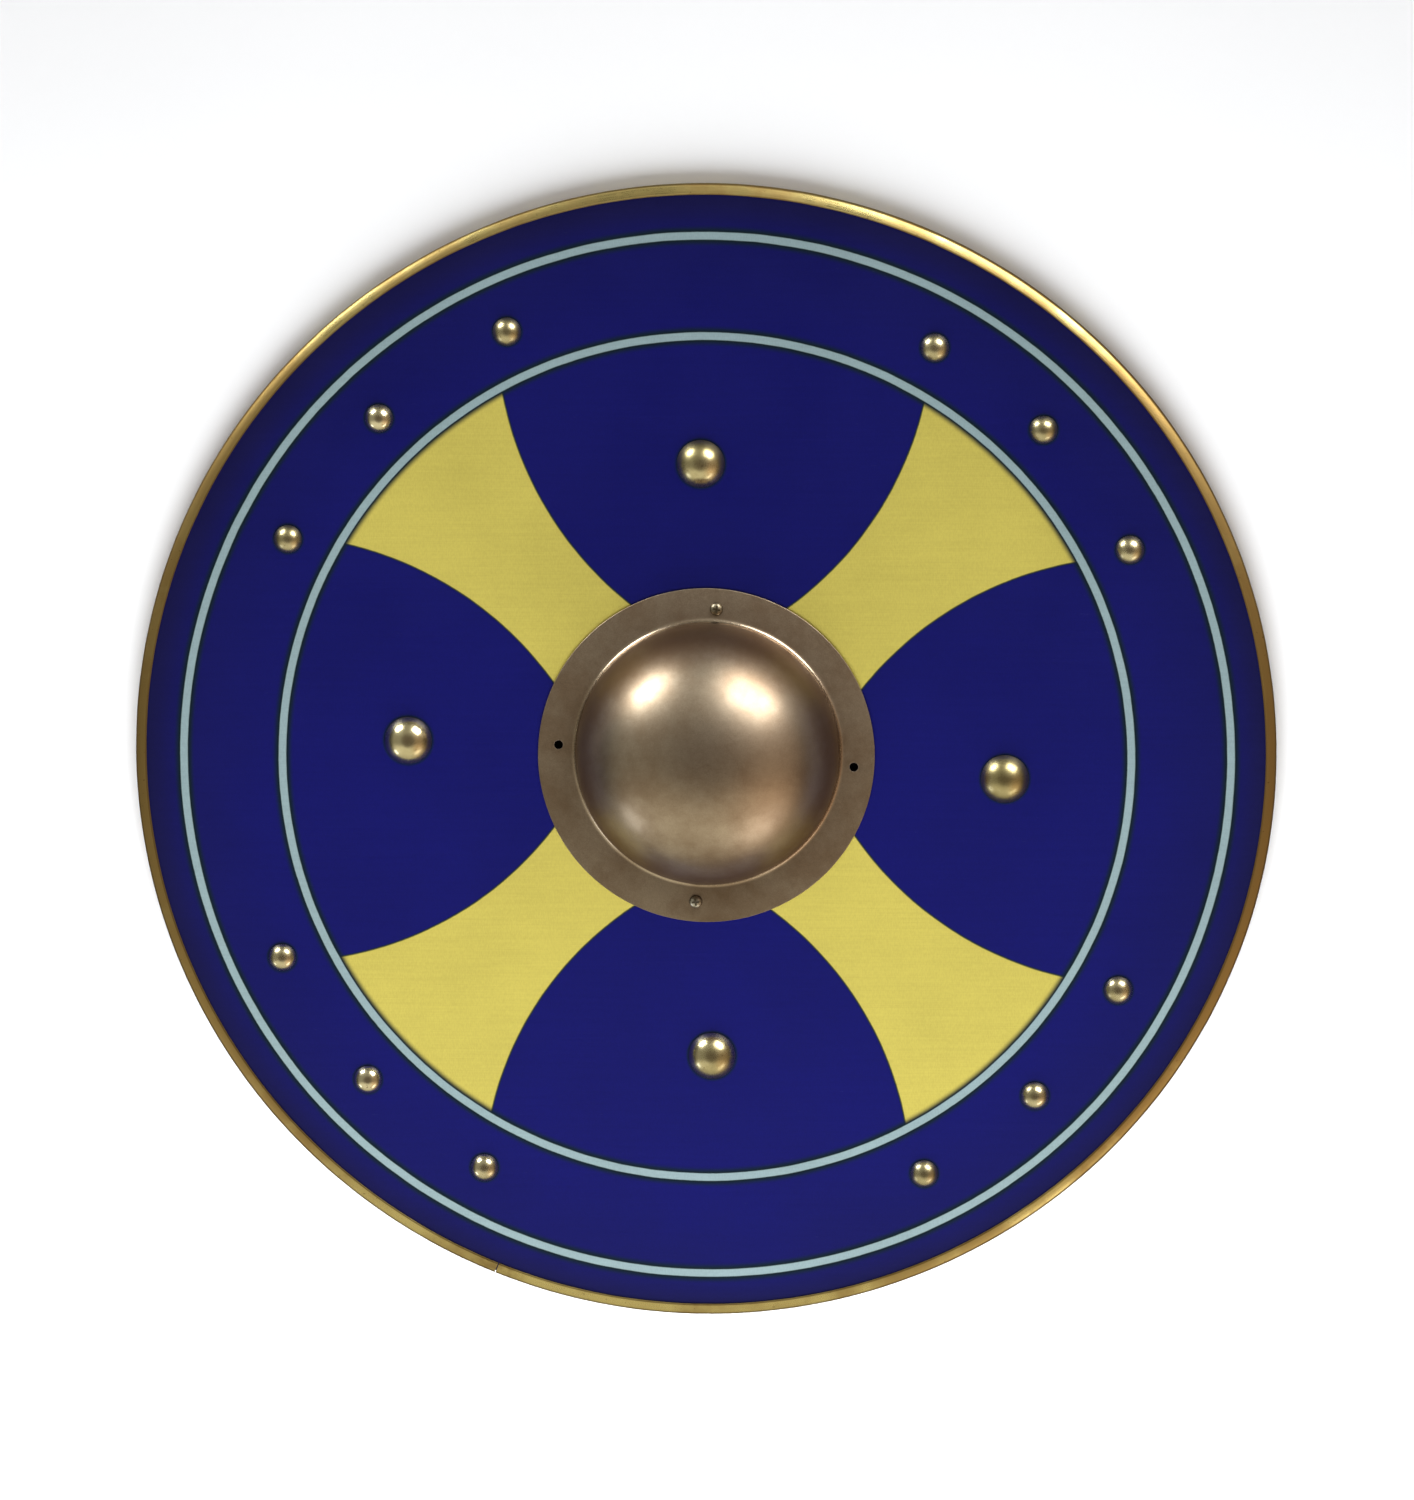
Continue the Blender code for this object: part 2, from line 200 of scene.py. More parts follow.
class Graph:
    """Short calls that add and link the nodes of a shader or geometry tree."""

    def __init__(self, tree: bpy.types.NodeTree) -> None:
        """Starts on the tree that the nodes go in."""
        self.tree = tree

    def feed(self, socket: Socket, value: object) -> None:
        """Links a socket to another, or sets its own value.

        Args:
            socket: The socket to feed.
            value: An output socket, or a plain value.
        """
        if isinstance(value, bpy.types.NodeSocket):
            self.tree.links.new(value, socket)
        else:
            socket.default_value = value

    def add(self, kind: str, settings: dict | None = None, inputs: dict | None = None) -> bpy.types.Node:
        """Adds a node.

        Args:
            kind: The node's type.
            settings: Its properties by name.
            inputs: What feeds its sockets, by the socket's name or number.

        Returns:
            The node.
        """
        node = self.tree.nodes.new(kind)
        for name, value in (settings or {}).items():
            setattr(node, name, value)
        for name, value in (inputs or {}).items():
            self.feed(node.inputs[name], value)
        return node

    def sum(self, operation: str, *values: Value) -> Socket:
        """Adds one step of arithmetic, by the Math node's operation."""
        return self.add("ShaderNodeMath", {"operation": operation}, dict(enumerate(values))).outputs[0]

    def vector(self, operation: str, *values: Value) -> Socket:
        """Adds one step of vector arithmetic, whose result is a number where the operation gives one."""
        node = self.add("ShaderNodeVectorMath", {"operation": operation}, dict(enumerate(values)))
        return node.outputs[1 if operation in ("LENGTH", "DOT_PRODUCT", "DISTANCE") else 0]

    def parts_of(self, vector: Value) -> tuple[Socket, Socket, Socket]:
        """Splits a vector into its three numbers."""
        return tuple(self.add("ShaderNodeSeparateXYZ", inputs={0: vector}).outputs)

    def joined(self, x: Value, y: Value, z: Value) -> Socket:
        """Makes a vector of three numbers."""
        return self.add("ShaderNodeCombineXYZ", inputs={0: x, 1: y, 2: z}).outputs[0]

    def ease(
        self, value: Value, low: float, high: float, at_low: Value = 0.0, at_high: Value = 1.0
    ) -> Socket:
        """Runs smoothly from one value to another as a number passes through a range."""
        inputs = {"Value": value, "From Min": low, "From Max": high, "To Min": at_low, "To Max": at_high}
        return self.add("ShaderNodeMapRange", {"interpolation_type": "SMOOTHSTEP"}, inputs).outputs[0]

    def noise(self, vector: Value, scale: Value, detail: float = 3.0, rough: float = 0.5) -> bpy.types.Node:
        """Adds a noise texture: its output 0 is a number about one half, its output 1 a colour."""
        inputs = {"Vector": vector, "Scale": scale, "Detail": detail, "Roughness": rough}
        return self.add("ShaderNodeTexNoise", inputs=inputs)

    def mixed(self, share: Value, first: Value, second: Value, mode: str = "MIX") -> Socket:
        """Mixes two colours, where the share is how much of the second there is."""
        settings = {"data_type": "RGBA", "blend_type": mode}
        return self.add("ShaderNodeMix", settings, {0: share, 6: first, 7: second}).outputs[2]


class Surface(Graph):
    """A material's tree, with the calls that a finish needs."""

    def __init__(self, name: str) -> None:
        """Starts a material.

        Args:
            name: The material's name.
        """
        self.material = bpy.data.materials.new(name)
        self.material.use_nodes = True
        super().__init__(self.material.node_tree)
        self.shader = self.tree.nodes["Principled BSDF"]
        self.place = self.add("ShaderNodeTexCoord").outputs["Object"]

    def read(self, grain: Grain, place: Socket | None = None) -> Socket:
        """Reads noise, which may be stretched along the axes.

        Args:
            grain: The noise.
            place: Where it is read, if not at the place itself.

        Returns:
            The noise, a number about one half.
        """
        place, scale = place or self.place, grain.scale
        if isinstance(scale, tuple):
            place, scale = self.vector("MULTIPLY", place, scale), 1.0
        return self.noise(place, scale, grain.detail, grain.rough).outputs[0]

    def shaded(self, colour: Socket, tone: Socket) -> Socket:
        """Makes a colour darker or lighter, by a tone that multiplies it."""
        return self.mixed(1.0, colour, self.joined(tone, tone, tone), "MULTIPLY")

    def share(self, amount: Value, value: Socket) -> Socket:
        """Gives a share of a value."""
        return self.sum("MULTIPLY", value, amount)

    def turned(self, centre: Sequence[float], angle: float) -> tuple[Socket, Socket, Socket]:
        """Reads the place in a frame of its own, turned about the upright axis.

        Args:
            centre: The frame's origin.
            angle: How far the frame is turned, in radians.

        Returns:
            The place's three numbers in that frame.
        """
        local = self.vector("SUBTRACT", self.place, tuple(centre))
        turned = self.add("ShaderNodeVectorRotate", {"rotation_type": "Z_AXIS"}, {"Vector": local})
        turned.inputs["Angle"].default_value = -angle
        return self.parts_of(turned.outputs[0])

    def round_the(self, centre: Value) -> tuple[Socket, Socket]:
        """Reads the place as distance and angle about an upright axis.

        Args:
            centre: A point of the axis.

        Returns:
            The distance in metres and the angle in radians.
        """
        x, y, _ = self.parts_of(self.vector("SUBTRACT", self.place, centre))
        reach = self.vector("LENGTH", self.joined(x, y, 0.0))
        return reach, self.sum("ARCTAN2", y, x)

    def past_nearest(self, posts: Sequence[Post]) -> Socket:
        """Finds how far the place lies outside the nearest of some upright round posts.

        Args:
            posts: Each post's axis and its radius.

        Returns:
            The distance in metres, below zero inside a post.
        """
        nearest: Value = 1.0
        for centre, radius in posts:
            reach, _ = self.round_the(tuple(centre))
            nearest = self.sum("MINIMUM", nearest, self.sum("SUBTRACT", reach, radius))
        return nearest

    def bump(self, height: Value, depth: float, over: Socket | None = None) -> Socket:
        """Turns a height into a surface normal.

        Args:
            height: The height, from 0 to 1.
            depth: How far a height of 1 stands up, in metres.
            over: The normal of the relief beneath, if there is any.

        Returns:
            The normal.
        """
        inputs = {"Height": height, "Distance": depth}
        if over is not None:
            inputs["Normal"] = over
        return self.add("ShaderNodeBump", inputs=inputs).outputs[0]

    def finish(self, **inputs: object) -> bpy.types.Material:
        """Feeds the shader.

        Args:
            inputs: What feeds its sockets, with their names' spaces written as underscores.

        Returns:
            The material.
        """
        for name, value in inputs.items():
            self.feed(self.shader.inputs[name.replace("_", " ")], value)
        return self.material


@dataclass(frozen=True)
class ShieldPaint:
    """Satin paint: blue lobes on a yellow cross, inside two pale rings with dark outlines.

    Each lobe is bounded by two arcs of one radius. Folding the plane about the cross leaves one
    arc, whose centre is given along and across the lobe. The coat over the pattern is brushed
    and lightly scuffed, and shows the weave beneath it.
    """

    heads: tuple[Post, ...]
    screw_holes: tuple[Post, ...]
    centre: tuple[float, float, float] = (0.0009, -0.0023, 0.0)
    turn: float = math.radians(-1.35)
    ring_radii: tuple[float, float] = (0.2270, 0.2800)
    ring_half_width: float = 0.0020
    ring_side: Ramp = Ramp(-0.0003, 0.0003, 1.0, 0.0)
    ring_outline: Ramp = Ramp(0.0003, 0.0040, 1.0, 0.0)
    arc_along: float = 0.2313
    arc_across: float = 0.0702
    arc_radius: float = 0.1855
    cross_side: Ramp = Ramp(-0.0002, 0.0002)
    cross_end: Ramp = Ramp(-0.0002, 0.0002, 1.0, 0.0)
    cross_line: Ramp = Ramp(0.0002, 0.0008, 0.85, 0.0)
    edge_shade: Ramp = Ramp(0.0, 0.0200)
    painted_head_shade: Ramp = Ramp(0.0, 0.0018, 0.8, 0.0)
    hole_shade_ramp: Ramp = Ramp(0.0004, 0.0010, 1.0, 0.0)
    hand: Grain = Grain(60.0, 4.0, 0.6)
    hand_wobble: float = 0.0005
    clouds: Grain = Grain(14.0, 4.0, 0.6)
    cloud_shade: Ramp = Ramp(0.3, 0.7, -0.04, 0.04)
    roughness: Ramp = Ramp(0.25, 0.75, 0.44, 0.56)
    strokes: Grain = Grain((30.0, 1400.0, 400.0), 3.0, 0.6)
    stroke_shade: Ramp = Ramp(0.3, 0.7, -0.03, 0.03)
    stroke_depth: float = 0.00003
    weave: Grain = Grain((1500.0, 500.0, 700.0), 3.0, 0.65)
    weave_shade: Ramp = Ramp(0.3, 0.7, -0.05, 0.05)
    weave_depth: float = 0.00004
    ridges: Grain = Grain((9.0, 260.0, 100.0), 4.0, 0.6)
    ridge_depth: float = 0.00012
    scuffs: Grain = Grain((160.0, 900.0, 200.0), 5.0, 0.75)
    scuffed: Ramp = Ramp(0.66, 0.74)
    scuff_share: float = 0.04
    scuff_roughness: float = 0.12
    gloss: float = 0.07
    lobe_blue: Colour = tint(8, 9, 86)
    band_blue: Colour = tint(9, 10, 80)
    edge_blue: Colour = tint(13, 12, 62)
    yellow: Colour = tint(176, 163, 76)
    ring_colour: Colour = tint(128, 148, 150)
    outline: Colour = tint(8, 26, 34)
    scuff: Colour = tint(150, 150, 160)
    painted_hole_shade: Colour = tint(14, 10, 10)

    def material(self) -> bpy.types.Material:
        """Makes the painted face."""
        surface = Surface("painted_face")
        x, y, _ = surface.turned(self.centre, self.turn)
        shake = surface.sum("SUBTRACT", surface.read(self.hand), 0.5)
        wobble = surface.share(self.hand_wobble, shake)
        reach = surface.sum("ADD", surface.vector("LENGTH", surface.joined(x, y, 0.0)), wobble)
        colour, line = self._ground(surface, x, y, reach, wobble)
        colour = surface.mixed(line, colour, self.outline)
        colour = self._rings(surface, colour, reach)
        # Painted shade: a dark ring in the outline colour is painted on the face round each brass head,
        # where the heads meet the board.
        painted_head_shade = surface.ease(surface.past_nearest(self.heads), *self.painted_head_shade)
        return self._coat(surface, surface.mixed(painted_head_shade, colour, self.outline))

    def _ground(
        self, surface: Surface, x: Socket, y: Socket, reach: Socket, wobble: Socket
    ) -> tuple[Socket, Socket]:
        """Paints the blue and the yellow, and finds the dark line between them.

        Args:
            surface: The material's tree.
            x: The place across the pattern.
            y: The place up the pattern.
            reach: The distance from the pattern's centre.
            wobble: The unsteadiness of the painter's hand, in metres.

        Returns:
            The colour, and the share of the dark line.
        """
        flat_x, flat_y = surface.sum("ABSOLUTE", x), surface.sum("ABSOLUTE", y)
        along = surface.sum("SUBTRACT", surface.sum("MAXIMUM", flat_x, flat_y), self.arc_along)
        across = surface.sum("ADD", surface.sum("MINIMUM", flat_x, flat_y), self.arc_across)
        away = surface.vector("LENGTH", surface.joined(along, across, 0.0))
        outside = surface.sum("ADD", surface.sum("SUBTRACT", away, self.arc_radius), wobble)
        inner_ring, outer_ring = self.ring_radii
        cross = surface.ease(outside, *self.cross_side)
        within = surface.ease(reach, *self.cross_end.past(inner_ring))
        line = surface.ease(surface.sum("ABSOLUTE", outside), *self.cross_line)
        blue = surface.mixed(surface.ease(reach, inner_ring, outer_ring), self.lobe_blue, self.band_blue)
        blue = surface.mixed(surface.ease(reach, *self.edge_shade.past(outer_ring)), blue, self.edge_blue)
        colour = surface.mixed(surface.sum("MULTIPLY", cross, within), blue, self.yellow)
        return colour, surface.sum("MULTIPLY", line, within)

    def _rings(self, surface: Surface, colour: Socket, reach: Socket) -> Socket:
        """Paints the two pale rings and their dark outlines.

        Args:
            surface: The material's tree.
            colour: The ground's colour.
            reach: The distance from the pattern's centre.

        Returns:
            The colour.
        """
        outline, side = (ramp.past(self.ring_half_width) for ramp in (self.ring_outline, self.ring_side))
        for radius in self.ring_radii:
            away = surface.sum("ABSOLUTE", surface.sum("SUBTRACT", reach, radius))
            colour = surface.mixed(surface.ease(away, *outline), colour, self.outline)
            colour = surface.mixed(surface.ease(away, *side), colour, self.ring_colour)
        return colour

    def _coat(self, surface: Surface, colour: Socket) -> bpy.types.Material:
        """Lays the brushed, lightly scuffed coat over the pattern.

        Args:
            surface: The material's tree.
            colour: The pattern's colour.

        Returns:
            The material.
        """
        clouds, strokes, weave = (surface.read(grain) for grain in (self.clouds, self.strokes, self.weave))
        shade = surface.sum("ADD", surface.ease(clouds, *self.cloud_shade), 1.0)
        shade = surface.sum("ADD", shade, surface.ease(strokes, *self.stroke_shade))
        shade = surface.sum("ADD", shade, surface.ease(weave, *self.weave_shade))
        colour = surface.shaded(colour, shade)
        scuffs = surface.ease(surface.read(self.scuffs), *self.scuffed)
        colour = surface.mixed(surface.share(self.scuff_share, scuffs), colour, self.scuff)
        # Painted shade: the paint at the foot of the boss's holes is darkened nearly to black and loses its
        # gloss.
        painted_hole_shade = surface.ease(surface.past_nearest(self.screw_holes), *self.hole_shade_ramp)
        colour = surface.mixed(painted_hole_shade, colour, self.painted_hole_shade)
        gloss = surface.share(self.gloss, surface.sum("SUBTRACT", 1.0, painted_hole_shade))
        rough = surface.ease(clouds, *self.roughness)
        rough = surface.sum("ADD", rough, surface.share(self.scuff_roughness, scuffs))
        normal = surface.bump(strokes, self.stroke_depth)
        normal = surface.bump(weave, self.weave_depth, normal)
        normal = surface.bump(surface.read(self.ridges), self.ridge_depth, normal)
        return surface.finish(Base_Color=colour, Roughness=rough, Specular_IOR_Level=gloss, Normal=normal)


@dataclass(frozen=True)
class Plywood:
    """Bare plywood: pale veneer on the flat, and its glued layers on the cut edges."""

    back_z: float
    thickness: float
    screw_holes: tuple[Post, ...]
    layers: int = 7
    layer_nudge: float = 0.002
    lengthways: Grain = Grain((4.0, 190.0, 60.0), 5.0, 0.62)
    crossways: Grain = Grain((190.0, 4.0, 60.0), 5.0, 0.62)
    figure: Ramp = Ramp(0.32, 0.68)
    fibre_depth: float = 0.00012
    roughness: Ramp = Ramp(0.3, 0.7, 0.58, 0.74)
    pores: Grain = Grain((60.0, 2600.0, 400.0), 3.0, 0.7)
    pore_share: Ramp = Ramp(0.60, 0.72, 0.0, 0.45)
    pore_depth: float = 0.00008
    odd_layer_share: float = 0.35
    glue_line: Ramp = Ramp(0.03, 0.08, 0.7, 0.0)
    beneath_veneer: Ramp = Ramp(0.01, 0.03)
    hole_shade_ramp: Ramp = Ramp(0.0005, 0.0020, 1.0, 0.0)
    gloss: float = 0.5
    pale: Colour = tint(205, 168, 118)
    brown: Colour = tint(158, 112, 66)
    glue: Colour = tint(92, 60, 36)
    painted_hole_shade: Colour = tint(20, 13, 12)

    def material(self) -> bpy.types.Material:
        """Makes the bare wood of the back and of the holes."""
        surface = Surface("bare_plywood")
        _, _, z = surface.parts_of(surface.place)
        depth = surface.sum("DIVIDE", surface.sum("SUBTRACT", z, self.back_z), self.thickness)
        layer = surface.sum("MULTIPLY", depth, float(self.layers))
        nudged = surface.sum("ADD", layer, self.layer_nudge)
        odd = surface.sum("GREATER_THAN", surface.sum("MODULO", nudged, 2.0), 1.0)
        lengthways, crossways = surface.read(self.lengthways), surface.read(self.crossways)
        fibre = surface.add("ShaderNodeMix", None, {0: odd, 2: lengthways, 3: crossways}).outputs[0]
        pores = surface.read(self.pores)
        colour = surface.mixed(surface.ease(fibre, *self.figure), self.pale, self.brown)
        colour = surface.mixed(surface.ease(odd, 0.0, 1.0, 0.0, self.odd_layer_share), colour, self.brown)
        colour = surface.mixed(surface.ease(pores, *self.pore_share), colour, self.glue)
        to_glue = surface.sum("PINGPONG", layer, 0.5)
        inside = surface.ease(depth, *self.beneath_veneer)
        glue = surface.sum("MULTIPLY", surface.ease(to_glue, *self.glue_line), inside)
        colour = surface.mixed(glue, colour, self.glue)
        # Painted shade: the walls of the screw holes, below the veneer, are darkened nearly to black and
        # lose their gloss.
        painted_hole_shade = surface.ease(surface.past_nearest(self.screw_holes), *self.hole_shade_ramp)
        painted_hole_shade = surface.sum("MULTIPLY", painted_hole_shade, inside)
        colour = surface.mixed(painted_hole_shade, colour, self.painted_hole_shade)
        rough = surface.ease(fibre, *self.roughness)
        gloss = surface.share(self.gloss, surface.sum("SUBTRACT", 1.0, painted_hole_shade))
        normal = surface.bump(fibre, self.fibre_depth)
        normal = surface.bump(pores, self.pore_depth, normal)
        return surface.finish(Base_Color=colour, Roughness=rough, Specular_IOR_Level=gloss, Normal=normal)


@dataclass(frozen=True)
class GripWood:
    """Oiled hardwood whose grain runs along the grip, darker where the hand holds it."""

    middle: tuple[float, float, float]
    turn: float
    let_in: float
    hand_half_length: float
    screw_holes: tuple[Post, ...]
    ring_stretch: tuple[float, float, float] = (7.0, 260.0, 260.0)
    bend: Grain = Grain(9.0, 2.0)
    bend_width: float = 0.05
    rings: Grain = Grain(1.0, 5.0, 0.6)
    figure: Ramp = Ramp(0.35, 0.65)
    ring_depth: float = 0.00015
    pores: Grain = Grain((8.0, 9.0, 9.0), 2.0)
    pore_share: Ramp = Ramp(0.58, 0.70, 0.0, 0.55)
    pore_depth: float = 0.00010
    held: Ramp = Ramp(0.7, 1.6, 0.45, 0.0)
    held_polish: float = 0.3
    roughness: Ramp = Ramp(0.3, 0.7, 0.48, 0.60)
    hole_shade_ramp: Ramp = Ramp(0.0005, 0.0015, 1.0, 0.0)
    uppermost: Ramp = Ramp(-0.0002, -0.0001)
    gloss: float = 0.5
    light: Colour = tint(168, 118, 68)
    dark: Colour = tint(104, 64, 34)
    worn: Colour = tint(78, 48, 28)
    painted_hole_shade: Colour = tint(14, 10, 9)

    def material(self) -> bpy.types.Material:
        """Makes the grip's wood, with painted shade where it shows through the boss's empty holes."""
        surface = Surface("grip_wood")
        x, y, z = surface.turned(self.middle, self.turn)
        bend = surface.share(self.bend_width, surface.read(self.bend))
        bent = (x, surface.sum("ADD", y, bend), z)
        along = surface.joined(*(surface.share(scale, part) for scale, part in zip(self.ring_stretch, bent)))
        rings, pores = surface.read(self.rings, along), surface.read(self.pores, along)
        colour = surface.mixed(surface.ease(rings, *self.figure), self.light, self.dark)
        colour = surface.mixed(surface.ease(pores, *self.pore_share), colour, self.worn)
        held = surface.ease(surface.sum("ABSOLUTE", x), *self.held.times(self.hand_half_length))
        colour = surface.mixed(held, colour, self.worn)
        top = surface.ease(z, *self.uppermost.past(self.let_in))
        # Painted shade: the grip's top is darkened nearly to black under the boss's empty holes.
        painted_hole_shade = surface.ease(surface.past_nearest(self.screw_holes), *self.hole_shade_ramp)
        painted_hole_shade = surface.sum("MULTIPLY", painted_hole_shade, top)
        colour = surface.mixed(painted_hole_shade, colour, self.painted_hole_shade)
        gloss = surface.share(self.gloss, surface.sum("SUBTRACT", 1.0, painted_hole_shade))
        rough = surface.ease(rings, *self.roughness)
        rough = surface.sum("SUBTRACT", rough, surface.share(self.held_polish, held))
        normal = surface.bump(rings, self.ring_depth)
        normal = surface.bump(pores, self.pore_depth, normal)
        return surface.finish(Base_Color=colour, Roughness=rough, Specular_IOR_Level=gloss, Normal=normal)


class Polish(Enum):
    """Which way a metal was rubbed, as stretches of its scratches along, across and up."""

    ROUND_THE_RIM = (60.0, 9000.0, 5000.0)
    EVERY_WAY = (2600.0, 2600.0, 2600.0)


@dataclass(frozen=True)
class Brass:
    """Polished brass that has started to dull."""

    name: str
    polish: Polish
    bright: Colour
    dull: Colour
    roughness: tuple[float, float]
    grime_and_shade: Colour = tint(86, 64, 36)
    stains: Grain = Grain(38.0, 5.0, 0.6)
    patches: Grain = Grain(9.0)
    tarnished: Ramp = Ramp(0.80, 1.22, 0.08, 0.85)
    roughened: tuple[float, float] = (0.1, 0.8)
    stain_depth: float = 0.00006
    specks: Grain = Grain(420.0, 3.0, 0.6)
    speck_share: Ramp = Ramp(0.64, 0.74, 0.0, 0.5)
    scratch_detail: float = 3.0
    scratch_rough: float = 0.6
    scratch_roughness: Ramp = Ramp(0.35, 0.75, 0.0, 0.10)
    scratch_depth: float = 0.00001

    def material(self) -> bpy.types.Material:
        """Makes the brass."""
        surface = Surface(self.name)
        reach, angle = surface.round_the((0.0, 0.0, 0.0))
        scratches = surface.read(
            Grain(self.polish.value, self.scratch_detail, self.scratch_rough),
            self._rubbed(surface, reach, angle),
        )
        stains = surface.read(self.stains)
        tarnish_and_shade = surface.ease(surface.sum("ADD", stains, surface.read(self.patches)), *self.tarnished)
        # The edging adds painted shade here, darker to the left and right.
        tarnish_and_shade = surface.sum("MINIMUM", self._tarnish_and_side_shade(surface, angle, tarnish_and_shade), 1.0)
        colour = surface.mixed(tarnish_and_shade, self.bright, self.dull)
        specks = surface.ease(surface.read(self.specks), *self.speck_share)
        colour = surface.mixed(specks, colour, self.grime_and_shade)
        rough = surface.ease(tarnish_and_shade, *self.roughened, *self.roughness)
        rough = surface.sum("ADD", rough, surface.ease(scratches, *self.scratch_roughness))
        normal = surface.bump(scratches, self.scratch_depth)
        normal = surface.bump(stains, self.stain_depth, normal)
        return self._finished(surface, reach, angle, colour, rough, normal)

    def _rubbed(self, surface: Surface, reach: Socket, angle: Socket) -> Socket:
        """Gives the place that the scratches are read at."""
        return surface.place

    def _tarnish_and_side_shade(self, surface: Surface, angle: Socket, tarnish_and_shade: Socket) -> Socket:
        """Adds the painted shade that a piece may have to its tarnished share; plain brass has none."""
        return tarnish_and_shade

    def _finished(
        self, surface: Surface, reach: Socket, angle: Socket, colour: Socket, rough: Socket, normal: Socket
    ) -> bpy.types.Material:
        """Feeds the shader."""
        return surface.finish(Base_Color=colour, Metallic=1.0, Roughness=rough, Normal=normal)


@dataclass(frozen=True, kw_only=True)
class EdgingBrass(Brass):
    """The folded strip's brass: darker left and right by painted shade, mottled near its joint, with painted
    shade along its lip and fold.
    """

    joint_angle: float
    rim_radius: float
    strip_width: float
    painted_side_shade: Ramp = Ramp(0.50, 0.90, 0.0, 0.8)
    near_joint: Ramp = Ramp(0.002, 0.075, 1.0, 0.0)
    mottle: Grain = Grain(260.0, 4.0, 0.7)
    mottled: Ramp = Ramp(0.40, 0.62)
    mottle_share: float = 0.6
    mottle_roughness: float = 0.22
    lean: float = 0.0019
    lip: Ramp = Ramp(0.86, 0.96)
    fold: Ramp = Ramp(0.08, 0.24, 1.0, 0.0)
    painted_edge_shade: float = 0.6
    edge_roughness: float = 0.30

    def _rubbed(self, surface: Surface, reach: Socket, angle: Socket) -> Socket:
        """Unrolls the rim, so that the scratches run round it."""
        _, _, z = surface.parts_of(surface.place)
        return surface.joined(surface.share(self.rim_radius, angle), reach, z)

    def _tarnish_and_side_shade(self, surface: Surface, angle: Socket, tarnish_and_shade: Socket) -> Socket:
        """Adds painted shade to the left and right sides, as more of the dull colour."""
        sideways = surface.sum("ABSOLUTE", surface.sum("COSINE", angle))
        return surface.sum("ADD", tarnish_and_shade, surface.ease(sideways, *self.painted_side_shade))

    def _finished(
        self, surface: Surface, reach: Socket, angle: Socket, colour: Socket, rough: Socket, normal: Socket
    ) -> bpy.types.Material:
        """Adds the mottling, the strip's outward lean and the painted shade along its lip and fold, and
        feeds the shader.

        Args:
            surface: The material's tree.
            reach: The distance from the shield's middle.
            angle: The angle about it.
            colour: The brass's colour.
            rough: Its roughness.
            normal: Its fine relief.

        Returns:
            The material.
        """
        joint = math.remainder(math.radians(self.joint_angle), math.tau)
        near = surface.ease(surface.sum("ABSOLUTE", surface.sum("SUBTRACT", angle, joint)), *self.near_joint)
        spoilt = surface.sum("MULTIPLY", near, surface.ease(surface.read(self.mottle), *self.mottled))
        colour = surface.mixed(surface.share(self.mottle_share, spoilt), colour, self.dull)
        rough = surface.sum("ADD", rough, surface.share(self.mottle_roughness, spoilt))
        inward = surface.sum("DIVIDE", surface.sum("SUBTRACT", self.rim_radius, reach), self.strip_width)
        normal = surface.bump(inward, self.lean, normal)
        # Painted shade: the lip against the board and the outer fold are darkened and roughened.
        edges = surface.sum("MAXIMUM", surface.ease(inward, *self.lip), surface.ease(inward, *self.fold))
        colour = surface.mixed(surface.share(self.painted_edge_shade, edges), colour, self.grime_and_shade)
        rough = surface.sum("ADD", rough, surface.share(self.edge_roughness, edges))
        return super()._finished(surface, reach, angle, colour, rough, normal)


